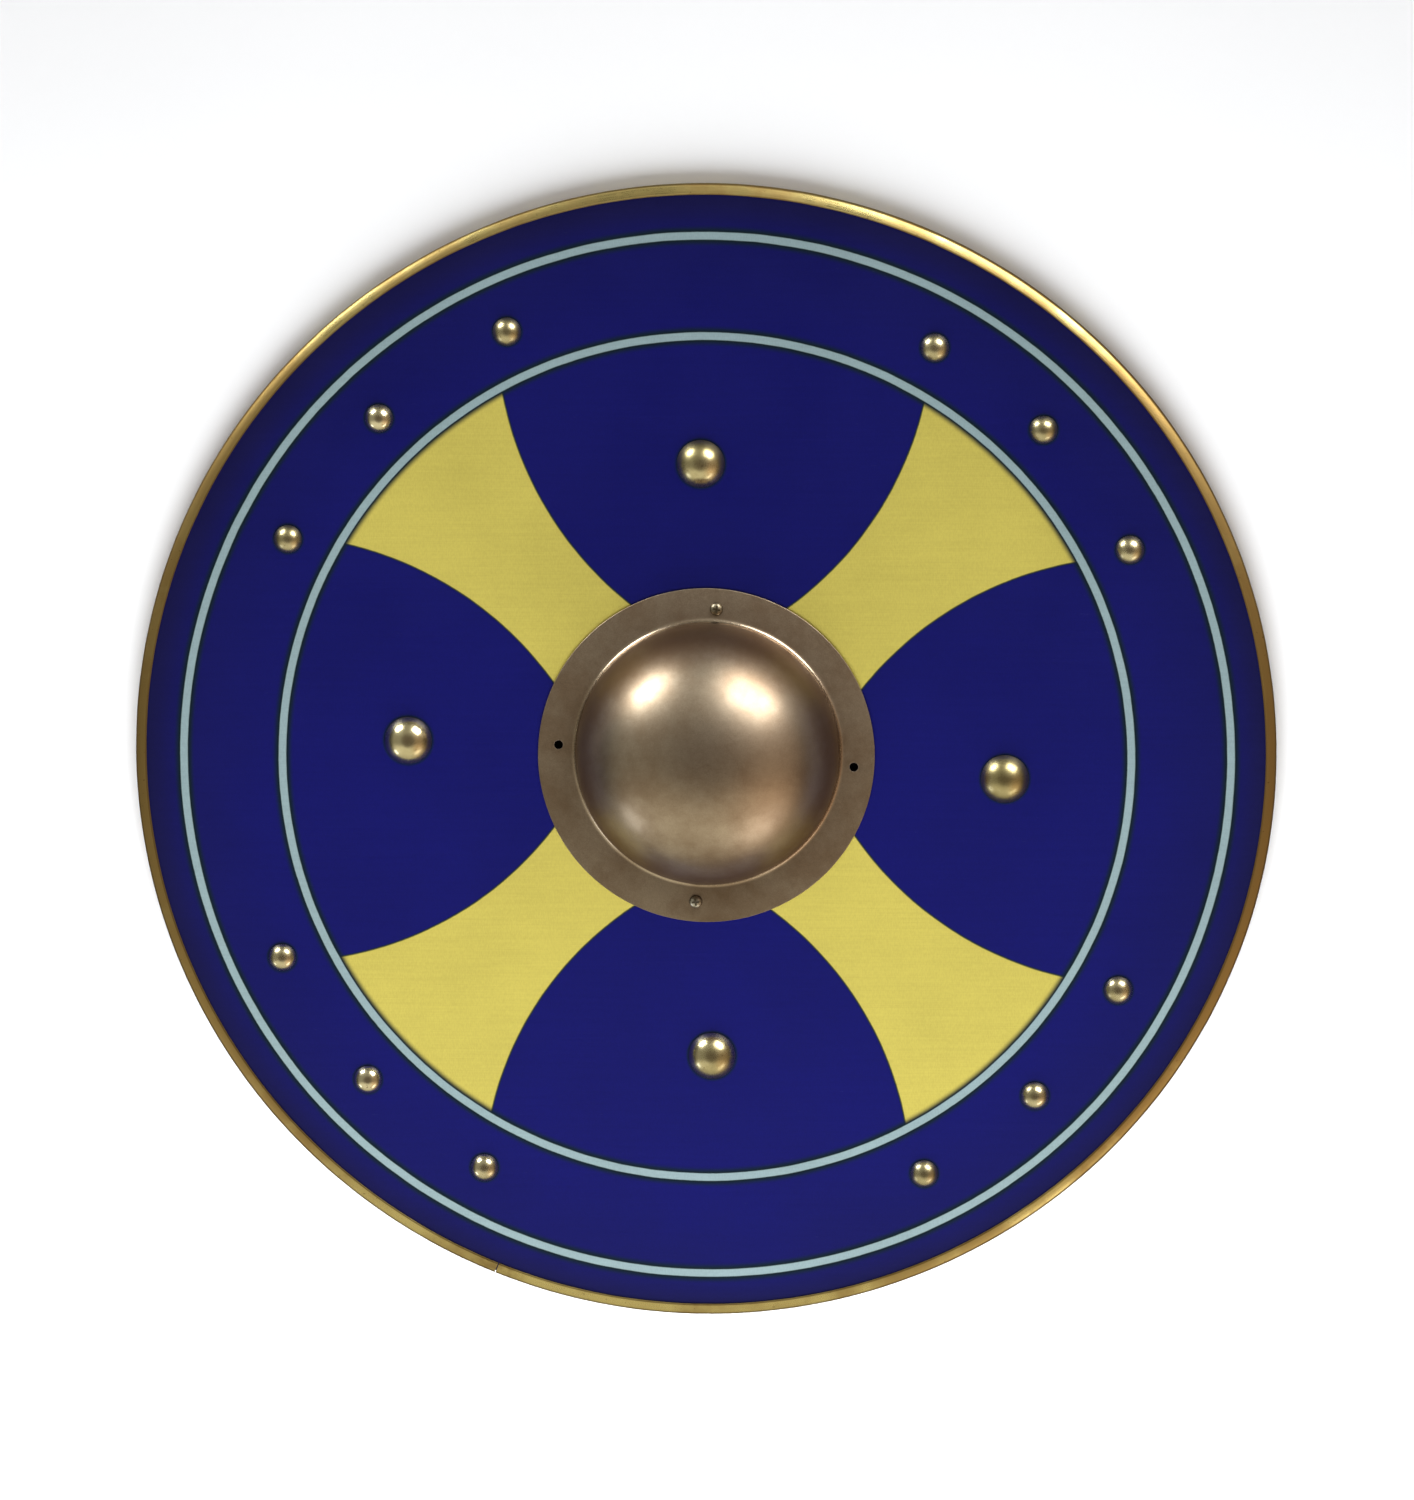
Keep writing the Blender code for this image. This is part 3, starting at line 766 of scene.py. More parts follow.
@dataclass(frozen=True)
class BossSteel:
    """Satin steel, warm grey brown, with a fine even grain and a painted dark brown reflection on the dome's
    steep wall.
    """

    centre: tuple[float, float, float]
    dome_radius: float
    fillet: float
    flange_z: float
    holes: tuple[Post, ...]
    clouds: Grain = Grain(26.0, 5.0, 0.62)
    figure: Ramp = Ramp(0.30, 0.70)
    cloud_depth: float = 0.00010
    roughness: Ramp = Ramp(0.25, 0.75, 0.32, 0.39)
    grit: Grain = Grain(2600.0, 2.0, 0.6)
    grit_shade: Ramp = Ramp(0.3, 0.7, 0.86, 1.10)
    grit_roughness: Ramp = Ramp(0.35, 0.65, -0.03, 0.05)
    spinning: Grain = Grain(1.0, 3.0, 0.6)
    spin_stretch: tuple[float, float, float] = (2600.0, 3.0, 2600.0)
    fine_depth: float = 0.000012
    pits: Grain = Grain(700.0, 4.0, 0.7)
    pitted: Ramp = Ramp(0.66, 0.76, 0.0, 0.45)
    above_fillet: Ramp = Ramp(0.5, 1.5)
    steep: Ramp = Ramp(0.70, 0.94)
    flat: Ramp = Ramp(0.0, 0.0004, 1.0, 0.0)
    painted_wall_reflection: float = 0.8
    wall_metal: float = 0.86
    wall_roughness: float = 0.16
    flat_roughness: float = 0.06
    fillet_polish: float = 0.12
    hole_shade_ramp: Ramp = Ramp(0.0, 0.0004, 1.0, 0.0)
    gloss: float = 0.5
    pale: Colour = tint(186, 173, 158)
    brown: Colour = tint(150, 132, 114)
    grime_and_shade: Colour = tint(84, 58, 34)
    painted_hole_shade: Colour = tint(16, 11, 10)

    def material(self) -> bpy.types.Material:
        """Makes the boss's steel."""
        surface = Surface("boss_steel")
        clouds, grit = surface.read(self.clouds), surface.read(self.grit)
        wall, flat, worn, spun = self._places(surface)
        colour = surface.mixed(surface.ease(clouds, *self.figure), self.pale, self.brown)
        colour = surface.shaded(colour, surface.ease(grit, *self.grit_shade))
        # Painted reflection: the dome's steep wall is tinted dark brown in place of the dark surroundings it
        # mirrors; the pits share this colour as real grime.
        colour = surface.mixed(surface.share(self.painted_wall_reflection, wall), colour, self.grime_and_shade)
        # Painted shade: the holes' walls and their edges on the flange are darkened nearly to black, and
        # lose their metal and gloss.
        painted_hole_shade = surface.ease(surface.past_nearest(self.holes), *self.hole_shade_ramp)
        colour = surface.mixed(painted_hole_shade, colour, self.painted_hole_shade)
        pits = surface.ease(surface.read(self.pits), *self.pitted)
        colour = surface.mixed(pits, colour, self.grime_and_shade)
        rough = surface.ease(clouds, *self.roughness)
        rough = surface.sum("ADD", rough, surface.share(self.flat_roughness, flat))
        rough = surface.sum("ADD", rough, surface.share(self.wall_roughness, wall))
        rough = surface.sum("SUBTRACT", rough, surface.share(self.fillet_polish, worn))
        rough = surface.sum("ADD", rough, surface.ease(grit, *self.grit_roughness))
        outside_hole_shade = surface.sum("SUBTRACT", 1.0, painted_hole_shade)
        # Less metal on the steep wall, so that its painted reflection shows.
        metal = surface.sum("MULTIPLY", outside_hole_shade, surface.ease(wall, 0.0, 1.0, 1.0, self.wall_metal))
        gloss = surface.share(self.gloss, outside_hole_shade)
        normal = surface.bump(grit, self.fine_depth)
        normal = surface.bump(surface.read(self.spinning, spun), self.fine_depth, normal)
        normal = surface.bump(clouds, self.cloud_depth, normal)
        return surface.finish(
            Base_Color=colour, Metallic=metal, Roughness=rough, Specular_IOR_Level=gloss, Normal=normal
        )

    def _places(self, surface: Surface) -> tuple[Socket, Socket, Socket, Socket]:
        """Finds the boss's regions.

        Args:
            surface: The material's tree.

        Returns:
            The shares of the dome's steep wall, of the flat flange and of the worn fillet
            between them, and the place stretched round the dome, as its spinning marks are.
        """
        reach, angle = surface.round_the(self.centre)
        _, _, z = surface.parts_of(surface.place)
        spun = surface.joined(
            *(surface.share(scale, part) for scale, part in zip(self.spin_stretch, (reach, angle, z)))
        )
        above = surface.ease(z, *self.above_fillet.times(self.fillet).past(self.flange_z))
        steep = surface.ease(reach, *self.steep.times(self.dome_radius))
        wall = surface.sum("MULTIPLY", steep, above)
        flat = surface.ease(z, *self.flat.past(self.flange_z))
        not_flat, not_above = surface.sum("SUBTRACT", 1.0, flat), surface.sum("SUBTRACT", 1.0, above)
        return wall, flat, surface.sum("MULTIPLY", not_flat, not_above), spun


@dataclass(frozen=True)
class ScrewZinc:
    """Worn zinc plate over steel, with painted shade low in the recess. One screw has gone dull."""

    head_top: float
    dull_screw: Post
    patches: Grain = Grain(520.0, 4.0, 0.65)
    figure: Ramp = Ramp(0.38, 0.62)
    patch_depth: float = 0.00005
    roughness: Ramp = Ramp(0.3, 0.7, 0.26, 0.46)
    dulled: Ramp = Ramp(0.0, 0.001, 0.75, 0.0)
    dull_roughness: float = 0.12
    recessed: Ramp = Ramp(-0.0021, -0.0007, 0.75, 0.0)
    plate: Colour = tint(206, 206, 200)
    worn: Colour = tint(150, 144, 130)
    brown: Colour = tint(128, 116, 92)
    grime_and_shade: Colour = tint(52, 44, 36)

    def material(self) -> bpy.types.Material:
        """Makes the screws' metal."""
        surface = Surface("screw_zinc")
        _, _, z = surface.parts_of(surface.place)
        patches = surface.read(self.patches)
        colour = surface.mixed(surface.ease(patches, *self.figure), self.plate, self.worn)
        dull = surface.ease(surface.past_nearest((self.dull_screw,)), *self.dulled)
        colour = surface.mixed(dull, colour, self.brown)
        # Painted shade: darker low in the cross recess.
        colour = surface.mixed(surface.ease(z, *self.recessed.past(self.head_top)), colour, self.grime_and_shade)
        rough = surface.ease(patches, *self.roughness)
        rough = surface.sum("ADD", rough, surface.share(self.dull_roughness, dull))
        normal = surface.bump(patches, self.patch_depth)
        return surface.finish(Base_Color=colour, Metallic=1.0, Roughness=rough, Normal=normal)


@dataclass(frozen=True)
class StudioFloor:
    """A plain pale matt floor."""

    clouds: Grain = Grain(3.0, 2.0)
    shade: Ramp = Ramp(0.3, 0.7, 0.91, 0.93)
    roughness: float = 0.9

    def material(self) -> bpy.types.Material:
        """Makes the floor's material."""
        surface = Surface("studio_floor")
        light = surface.ease(surface.read(self.clouds), *self.shade)
        return surface.finish(Base_Color=surface.joined(light, light, light), Roughness=self.roughness)


class Form(Graph):
    """A Geometry Nodes tree with named inputs, which is run once and kept as a plain mesh."""

    def __init__(self, name: str) -> None:
        """Starts a tree with the geometry's way in and out.

        Args:
            name: The tree's name.
        """
        super().__init__(bpy.data.node_groups.new(name, "GeometryNodeTree"))
        for way in ("INPUT", "OUTPUT"):
            self.tree.interface.new_socket("Geometry", in_out=way, socket_type="NodeSocketGeometry")
        self.inside = self.tree.nodes.new("NodeGroupInput")
        self.outside = self.tree.nodes.new("NodeGroupOutput")
        self.known: dict[str, str] = {}
        self.build()

    def entry(self, name: str, kind: str) -> Socket:
        """Adds a named input.

        Args:
            name: The input's name.
            kind: Its socket type, such as Float, Int, Vector, Object or Material.

        Returns:
            The socket inside the tree.
        """
        item = self.tree.interface.new_socket(name, in_out="INPUT", socket_type="NodeSocket" + kind)
        self.known[name] = item.identifier
        return self.inside.outputs[name]

    def build(self) -> None:
        """Adds the tree's nodes."""
        raise NotImplementedError

    def waves(self, vector: Value, scale: Value, height: Socket) -> Socket:
        """Reads slow noise as a push in every direction, to make a surface uneven."""
        waves = self.vector("SUBTRACT", self.noise(vector, scale, 2.0).outputs[1], (0.5, 0.5, 0.5))
        return self.vector("MULTIPLY", waves, self.joined(height, height, height))

    def close(self, geometry: Socket) -> None:
        """Ends the tree with plain geometry of one material.

        Args:
            geometry: What the tree has made.
        """
        plain = self.add("GeometryNodeRealizeInstances", inputs={"Geometry": geometry}).outputs[0]
        inputs = {"Geometry": plain, "Material": self.entry("Material", "Material")}
        self.feed(self.outside.inputs[0], self.add("GeometryNodeSetMaterial", inputs=inputs).outputs[0])

    def run(
        self, name: str, points: Iterable[Sequence[float]], joined: bool, **inputs: object
    ) -> bpy.types.Object:
        """Runs the tree on a line or a cloud of points.

        Args:
            name: The new object's name.
            points: The points in order.
            joined: Whether an edge joins each point to the next.
            inputs: Values for the named inputs, with their spaces written as underscores.

        Returns:
            A new object with the result as its own mesh.
        """
        corners = [tuple(point) for point in points]
        edges = [(i, i + 1) for i in range(len(corners) - 1)] if joined else []
        mesh = bpy.data.meshes.new(name)
        mesh.from_pydata(corners, edges, [])
        piece = bpy.data.objects.new(name, mesh)
        bpy.context.scene.collection.objects.link(piece)
        modifier = piece.modifiers.new(self.tree.name, "NODES")
        modifier.node_group = self.tree
        for key, value in inputs.items():
            modifier[self.known[key.replace("_", " ")]] = value
        return settled(piece)


class TurnedForm(Form):
    """Turns a profile right round an upright axis.

    The profile's points lie in the XZ plane and run from the top outwards and down, so that the
    turned faces look out. Past a start radius the turned shape can shift sideways, as a flange
    that isn't quite concentric with its dome does. Slow noise makes the surface a little uneven.
    """

    seam_merge: float = 0.000002

    def build(self) -> None:
        """Adds the tree's nodes."""
        profile = self.inside.outputs[0]
        sides = self.entry("Sides", "Int")
        centre = self.entry("Centre", "Vector")
        shift = self.entry("Shift", "Vector")
        shift_start = self.entry("Shift Start", "Float")
        shift_end = self.entry("Shift End", "Float")
        uneven = self.entry("Uneven", "Float")
        uneven_scale = self.entry("Uneven Scale", "Float")
        rows = self.add("GeometryNodeAttributeDomainSize", inputs={0: profile}).outputs["Point Count"]
        columns = self.sum("ADD", sides, 1.0)
        grid = self.add("GeometryNodeMeshGrid", inputs={"Vertices X": columns, "Vertices Y": rows})
        index = self.add("GeometryNodeInputIndex").outputs[0]
        column = self.sum("FLOOR", self.sum("DIVIDE", self.sum("ADD", index, 0.5), rows))
        row = self.sum("SUBTRACT", index, self.sum("MULTIPLY", column, rows))
        here = self.add("GeometryNodeInputPosition").outputs[0]
        sample = self.add("GeometryNodeSampleIndex", {"data_type": "FLOAT_VECTOR"})
        for name, value in (("Geometry", profile), ("Value", here), ("Index", row)):
            self.feed(sample.inputs[name], value)
        radius, _, height = self.parts_of(sample.outputs[0])
        angle = self.sum("MULTIPLY", column, self.sum("DIVIDE", math.tau, sides))
        x = self.sum("MULTIPLY", radius, self.sum("COSINE", angle))
        y = self.sum("MULTIPLY", radius, self.sum("SINE", angle))
        share = self.ease(radius, shift_start, shift_end)
        moved = self.vector("MULTIPLY", shift, self.joined(share, share, share))
        place = self.vector("ADD", self.joined(x, y, height), moved)
        place = self.vector("ADD", place, centre)
        turned = self.add("GeometryNodeSetPosition", inputs={"Geometry": grid.outputs[0], "Position": place})
        merged = self.add("GeometryNodeMergeByDistance", inputs={"Geometry": turned.outputs[0]})
        merged.inputs["Distance"].default_value = self.seam_merge
        offset = self.waves(here, uneven_scale, uneven)
        bent = self.add("GeometryNodeSetPosition", inputs={"Geometry": merged.outputs[0], "Offset": offset})
        self.close(self.add("GeometryNodeFlipFaces", inputs={"Mesh": bent.outputs[0]}).outputs[0])


class PlacedForm(Form):
    """Sets a copy of one piece at each point, turned, tilted and dented a little at random."""

    dent_scale: float = 190.0

    def build(self) -> None:
        """Adds the tree's nodes."""
        piece = self.add("GeometryNodeObjectInfo", inputs={"Object": self.entry("Piece", "Object")})
        tilt = self.entry("Tilt", "Float")
        spread = self.entry("Spread", "Float")
        dent = self.entry("Dent", "Float")
        seed = self.entry("Seed", "Int")
        lean = self.sum("MULTIPLY", tilt, -1.0)
        low = self.joined(lean, lean, 0.0)
        high = self.joined(tilt, tilt, math.tau)
        settings = {"data_type": "FLOAT_VECTOR"}
        turn = self.add("FunctionNodeRandomValue", settings, {0: low, 1: high, "Seed": seed})
        size = self.add("FunctionNodeRandomValue", {"data_type": "FLOAT"})
        for number, value in ((2, self.sum("SUBTRACT", 1.0, spread)), (3, self.sum("ADD", 1.0, spread))):
            self.feed(size.inputs[number], value)
        self.feed(size.inputs["Seed"], self.sum("ADD", seed, 1.0))
        scale = self.joined(size.outputs[1], size.outputs[1], 1.0)
        inputs = {
            "Points": self.inside.outputs[0],
            "Instance": piece.outputs["Geometry"],
            "Rotation": turn.outputs[0],
            "Scale": scale,
        }
        placed = self.add("GeometryNodeInstanceOnPoints", inputs=inputs).outputs[0]
        plain = self.add("GeometryNodeRealizeInstances", inputs={"Geometry": placed}).outputs[0]
        here = self.add("GeometryNodeInputPosition").outputs[0]
        offset = self.waves(here, self.dent_scale, dent)
        dented = self.add("GeometryNodeSetPosition", inputs={"Geometry": plain, "Offset": offset})
        self.close(dented.outputs[0])


def settled(piece: bpy.types.Object) -> bpy.types.Object:
    """Replaces an object's mesh with its evaluated one, and removes its modifiers.

    Args:
        piece: The object.

    Returns:
        The same object.
    """
    bpy.context.view_layer.update()
    old = piece.data
    mesh = bpy.data.meshes.new_from_object(piece.evaluated_get(bpy.context.evaluated_depsgraph_get()))
    piece.modifiers.clear()
    piece.data = mesh
    mesh.name = piece.name
    bpy.data.meshes.remove(old)
    return piece


def carved(piece: bpy.types.Object, *cutters: bpy.types.Object) -> bpy.types.Object:
    """Cuts other objects out of a piece, and removes them.

    Args:
        piece: The piece to cut.
        cutters: What is cut out of it.

    Returns:
        The piece, with its one material on the cut faces too.
    """
    own = next((material for material in piece.data.materials if material), None)
    for cutter in cutters:
        boolean = piece.modifiers.new("Cut", "BOOLEAN")
        boolean.operation = "DIFFERENCE"
        boolean.solver = "EXACT"
        boolean.object = cutter
    settled(piece)
    for cutter in cutters:
        bpy.data.objects.remove(cutter, do_unlink=True)
    mesh = piece.data
    mesh.materials.clear()
    mesh.materials.append(own)
    mesh.polygons.foreach_set("material_index", [0] * len(mesh.polygons))
    return piece


def linked(name: str, shape: bmesh.types.BMesh) -> bpy.types.Object:
    """Keeps a finished shape as an object of the scene.

    Args:
        name: The new object's name.
        shape: The shape, which is used up.

    Returns:
        The object.
    """
    mesh = bpy.data.meshes.new(name)
    shape.to_mesh(mesh)
    shape.free()
    piece = bpy.data.objects.new(name, mesh)
    bpy.context.scene.collection.objects.link(piece)
    return piece


def box_about(name: str, size: Sequence[float], place: Matrix) -> bpy.types.Object:
    """Makes a box about its own middle, with its place in its mesh.

    Args:
        name: The new object's name.
        size: Its length, width and height.
        place: The matrix that puts it in place.

    Returns:
        The box.
    """
    shape = bmesh.new()
    bmesh.ops.create_cube(shape, size=1.0)
    bmesh.ops.scale(shape, vec=size, verts=shape.verts)
    bmesh.ops.transform(shape, matrix=place, verts=shape.verts)
    return linked(name, shape)


def dressed(
    piece: bpy.types.Object, nodes: Sequence[str], smooth_below: float = 35.0
) -> bpy.types.Object:
    """Smooths a finished piece, and puts it in place of its frame nodes.

    Args:
        piece: The finished piece.
        nodes: The frame nodes that it stands for.
        smooth_below: The angle in degrees past which an edge stays sharp.

    Returns:
        The piece.
    """
    mesh = piece.data
    mesh.shade_smooth()
    mesh.set_sharp_from_angle(angle=math.radians(smooth_below))
    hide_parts(*nodes)
    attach(piece, BODY)
    LOG.info("%s: %d faces, stands for %d nodes", piece.name, len(mesh.polygons), len(nodes))
    return piece


@dataclass
class Forge:
    """The two trees that every sub-assembly shares.

    The shift that most pieces have starts past every radius, which leaves them unshifted.
    """

    turned_form: TurnedForm = field(default_factory=lambda: TurnedForm("turned_form"))
    placed_form: PlacedForm = field(default_factory=lambda: PlacedForm("placed_form"))
    unshifted: tuple[float, float] = (1.0, 2.0)
    uneven_scale: float = 20.0
    drill_sides: int = 32

    def turned(
        self,
        name: str,
        profile: Outline,
        sides: int,
        centre: Sequence[float] = (0.0, 0.0, 0.0),
        material: bpy.types.Material | None = None,
        **inputs: object,
    ) -> bpy.types.Object:
        """Turns a profile.

        Args:
            name: The new object's name.
            profile: Points as distance from the axis and height.
            sides: The number of facets round the axis.
            centre: A point of the axis, at height zero.
            material: The finish, if it needs one.
            inputs: Values for the tree's other inputs.

        Returns:
            The turned piece.
        """
        settings = {"Sides": sides, "Centre": tuple(centre), "Uneven_Scale": self.uneven_scale}
        settings |= dict(zip(("Shift_Start", "Shift_End"), self.unshifted)) | inputs
        if material is not None:
            settings["Material"] = material
        points = [(radius, 0.0, height) for radius, height in profile]
        return self.turned_form.run(name, points, True, **settings)

    def placed(
        self,
        name: str,
        piece: bpy.types.Object,
        places: Sequence[Vector],
        material: bpy.types.Material | None = None,
        **inputs: object,
    ) -> bpy.types.Object:
        """Sets a copy of a piece at each place, and removes the piece.

        Args:
            name: The new object's name.
            piece: What is set at each place, built about the origin.
            places: The places.
            material: The finish, if it needs one.
            inputs: Values for the tree's other inputs.

        Returns:
            All the copies as one object.
        """
        settings = {"Piece": piece} | inputs
        if material is not None:
            settings["Material"] = material
        group = self.placed_form.run(name, places, False, **settings)
        bpy.data.objects.remove(piece, do_unlink=True)
        return group

    def drill(
        self, name: str, radius: float, low: float, high: float, places: Sequence[Vector]
    ) -> bpy.types.Object:
        """Makes upright round cutters.

        Args:
            name: The new object's name.
            radius: The holes' radius.
            low: The height of their lower ends.
            high: The height of their upper ends.
            places: Where their axes stand.

        Returns:
            The cutters as one object.
        """
        profile = [(0.0, high), (radius, high), (radius, low), (0.0, low)]
        cutter = self.turned(name + "_bit", profile, self.drill_sides)
        return self.placed(name, cutter, [Vector((p.x, p.y, 0.0)) for p in places])


@dataclass
class Levels:
    """What the sub-assemblies share: heights and places read from the frame, and the grip's fit."""

    back_z: float = field(default_factory=lambda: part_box("board")[0].z)
    face_z: float = field(default_factory=lambda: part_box("board")[1].z)
    boss_centre: Vector = field(default_factory=lambda: node_middle("boss"))
    dome_shift: Vector = field(default_factory=lambda: Vector((0.0008, 0.0014, 0.0)))
    rivets: dict[str, Vector] = field(
        default_factory=lambda: {name: node_middle(name) for name in numbered("large_rivet_")}
    )
    nails: list[Vector] = field(default_factory=lambda: [node_middle(n) for n in numbered("small_nail_")])
    grip_width: float = 0.0280
    grip_let_in: float = 0.0050
    grip_beyond_rivet: float = 0.0240
    rivet_hole_radius: float = 0.0023
    pilot_hole_radius: float = 0.0021
    drill_beyond: float = 0.0040

    @property
    def dome_centre(self) -> Vector:
        """The dome's axis, at height zero."""
        return Vector((self.boss_centre.x, self.boss_centre.y, 0.0)) + self.dome_shift

    @property
    def heads(self) -> tuple[Post, ...]:
        """Every brass head's middle on the face, and its radius."""
        found = []
        for node in numbered("large_rivet_") + numbered("small_nail_"):
            (low, high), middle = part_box(node), node_middle(node)
            found.append((Vector((middle.x, middle.y, self.face_z)), (high.x - low.x) / 2))
        return tuple(found)

    @property
    def boss_holes(self) -> list[Vector]:
        """The boss's holes: the two with screws, and the two empty ones a quarter turn away."""
        top, bottom = node_middle("boss_screw_top"), node_middle("boss_screw_bottom")
        middle = (top + bottom) / 2
        arm = top - middle
        across = Vector((-arm.y, arm.x, 0.0))
        return [top, middle + across, bottom, middle - across]

    @property
    def grip_rivets(self) -> tuple[Vector, Vector]:
        """The two rivets that hold the grip."""
        return self.rivets["large_rivet_left"], self.rivets["large_rivet_right"]

    @property
    def grip_length(self) -> float:
        """The grip's whole length."""
        left, right = self.grip_rivets
        return (right - left).length + 2 * self.grip_beyond_rivet

    @property
    def grip_place(self) -> Matrix:
        """The grip's own frame: X along it, its underside at height zero."""
        left, right = self.grip_rivets
        middle = (left + right) / 2
        turn = math.atan2(right.y - left.y, right.x - left.x)
        return Matrix.Translation((middle.x, middle.y, self.back_z)) @ Matrix.Rotation(turn, 4, "Z")


@dataclass
class Board:
    """The flat plywood disc, painted on its face."""

    forge: Forge
    levels: Levels
    hand_hole_radius: float = 0.0600
    hand_hole_stock: float = 0.0080
    hand_hole_sides: int = 180
    hole_edge: float = 0.0008
    cut_beyond: float = 0.0030
    rim_chamfer: float = 0.0012
    housing_gap: float = 0.0003
    nail_hole_radius: float = 0.0015
    blind_floor: float = 0.0017
    painted_slope: float = 0.5
    sides: int = 360

    def profile(self) -> Outline:
        """Walks the disc's section, as a closed loop, with some stock left in the hand hole."""
        low, high = self.levels.back_z, self.levels.face_z
        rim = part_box("board")[1].x
        inner = self.hand_hole_radius - self.hand_hole_stock
        points = [(inner, high), (rim - self.rim_chamfer, high), (rim, high - self.rim_chamfer)]
        points += [(rim, low + self.rim_chamfer), (rim - self.rim_chamfer, low), (inner, low), (inner, high)]
        return points

    def hand_hole(self) -> bpy.types.Object:
        """Makes the hand hole's cutter, which eases both edges of the hole."""
        low, high = self.levels.back_z, self.levels.face_z
        edge, radius, beyond = self.hole_edge, self.hand_hole_radius, self.cut_beyond
        points = [(0.0, high + beyond), (radius + edge + beyond, high + beyond)]
        points += [(radius, high - edge), (radius, low + edge), (radius + edge + beyond, low - beyond)]
        points += [(0.0, low - beyond)]
        return self.forge.turned("hand_hole", points, self.hand_hole_sides, self.levels.dome_centre)

    def housing(self) -> bpy.types.Object:
        """Makes the cutter for the grip's housing in the back."""
        gap = 2 * self.housing_gap
        depth = self.levels.grip_let_in + self.housing_gap
        size = (self.levels.grip_length + gap, self.levels.grip_width + gap, 2 * depth)
        return box_about("grip_housing", size, self.levels.grip_place)

    def build(self) -> bpy.types.Object:
        """Makes the board and dresses it."""
        levels, drill = self.levels, self.forge.drill
        low, high = levels.back_z, levels.face_z
        above, below, blind = high + levels.drill_beyond, low - levels.drill_beyond, low + self.blind_floor
        screw_holes = tuple((place, levels.pilot_hole_radius) for place in levels.boss_holes)
        plywood = Plywood(low, high - low, screw_holes).material()
        board = self.forge.turned("painted_board", self.profile(), self.sides, material=plywood)
        carved(
            board,
            self.hand_hole(),
            self.housing(),
            drill("nail_holes", self.nail_hole_radius, blind, above, levels.nails),
            drill("rivet_holes", levels.rivet_hole_radius, below, above, list(levels.rivets.values())),
            drill("pilot_holes", levels.pilot_hole_radius, blind, above, levels.boss_holes),
        )
        mesh = board.data
        mesh.materials.append(ShieldPaint(levels.heads, screw_holes).material())
        painted = len(mesh.materials) - 1
        for face in mesh.polygons:
            if face.normal.z > self.painted_slope and face.center.z > high - self.rim_chamfer:
                face.material_index = painted
        return dressed(board, ["board"])


@dataclass
class Edging:
    """The brass strip folded over the rim, its upper leg hammered down to an even slope."""

    forge: Forge
    sheet: float = 0.0008
    leg: float = 0.0054
    corner: float = 0.0020
    slope_drop: float = 0.0005
    rim_fold: float = 0.0010
    joint_angle: float = 248.0
    joint_opening: float = 0.0006
    uneven: float = 0.00030
    uneven_scale: float = 45.0
    fold_steps: int = 7
    inner_fold_steps: int = 5
    lip_steps: int = 6
    sides: int = 720

    def profile(self) -> Outline:
        """Walks the channel's section, as a closed loop."""
        rim, _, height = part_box("brass_edging")[1]
        lip, outer, fold = rim - self.leg, rim - self.corner, self.corner - self.sheet
        half, round_off = self.sheet / 2, self.rim_fold
        lean = math.degrees(math.atan2(self.slope_drop, rim - round_off - lip))
        top = (rim - round_off, height - self.slope_drop - round_off)
        points = [(lip, height)]
        points += arc(top, round_off, 90.0 - lean, 0.0, self.lip_steps)
        points += arc((outer, self.corner), self.corner, 0.0, -90.0, self.fold_steps)
        points += arc((lip, half), half, -90.0, -270.0, self.lip_steps)
        points += arc((outer, self.corner), fold, -90.0, 0.0, self.inner_fold_steps)
        points += arc((outer, height - self.corner), fold, 0.0, 90.0, self.inner_fold_steps)
        points += arc((lip, height - half), half, -90.0, -270.0, self.lip_steps)
        return points + points[:1]

    def build(self) -> bpy.types.Object:
        """Makes the edging and dresses it."""
        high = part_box("brass_edging")[1]
        finish = EdgingBrass(
            "edging_brass",
            Polish.ROUND_THE_RIM,
            bright=tint(198, 186, 128),
            dull=tint(155, 132, 84),
            roughness=(0.22, 0.34),
            joint_angle=self.joint_angle,
            rim_radius=high.x,
            strip_width=self.leg,
        )
        edging = self.forge.turned(
            "rim_edging",
            self.profile(),
            self.sides,
            material=finish.material(),
            Uneven=self.uneven,
            Uneven_Scale=self.uneven_scale,
        )
        turn = Matrix.Rotation(math.radians(self.joint_angle), 4, "Z")
        place = turn @ Matrix.Translation((high.x, 0.0, high.z / 2))
        size = (4 * self.leg, self.joint_opening, 2 * high.z)
        carved(edging, box_about("edging_joint", size, place))
        return dressed(edging, ["brass_edging"])


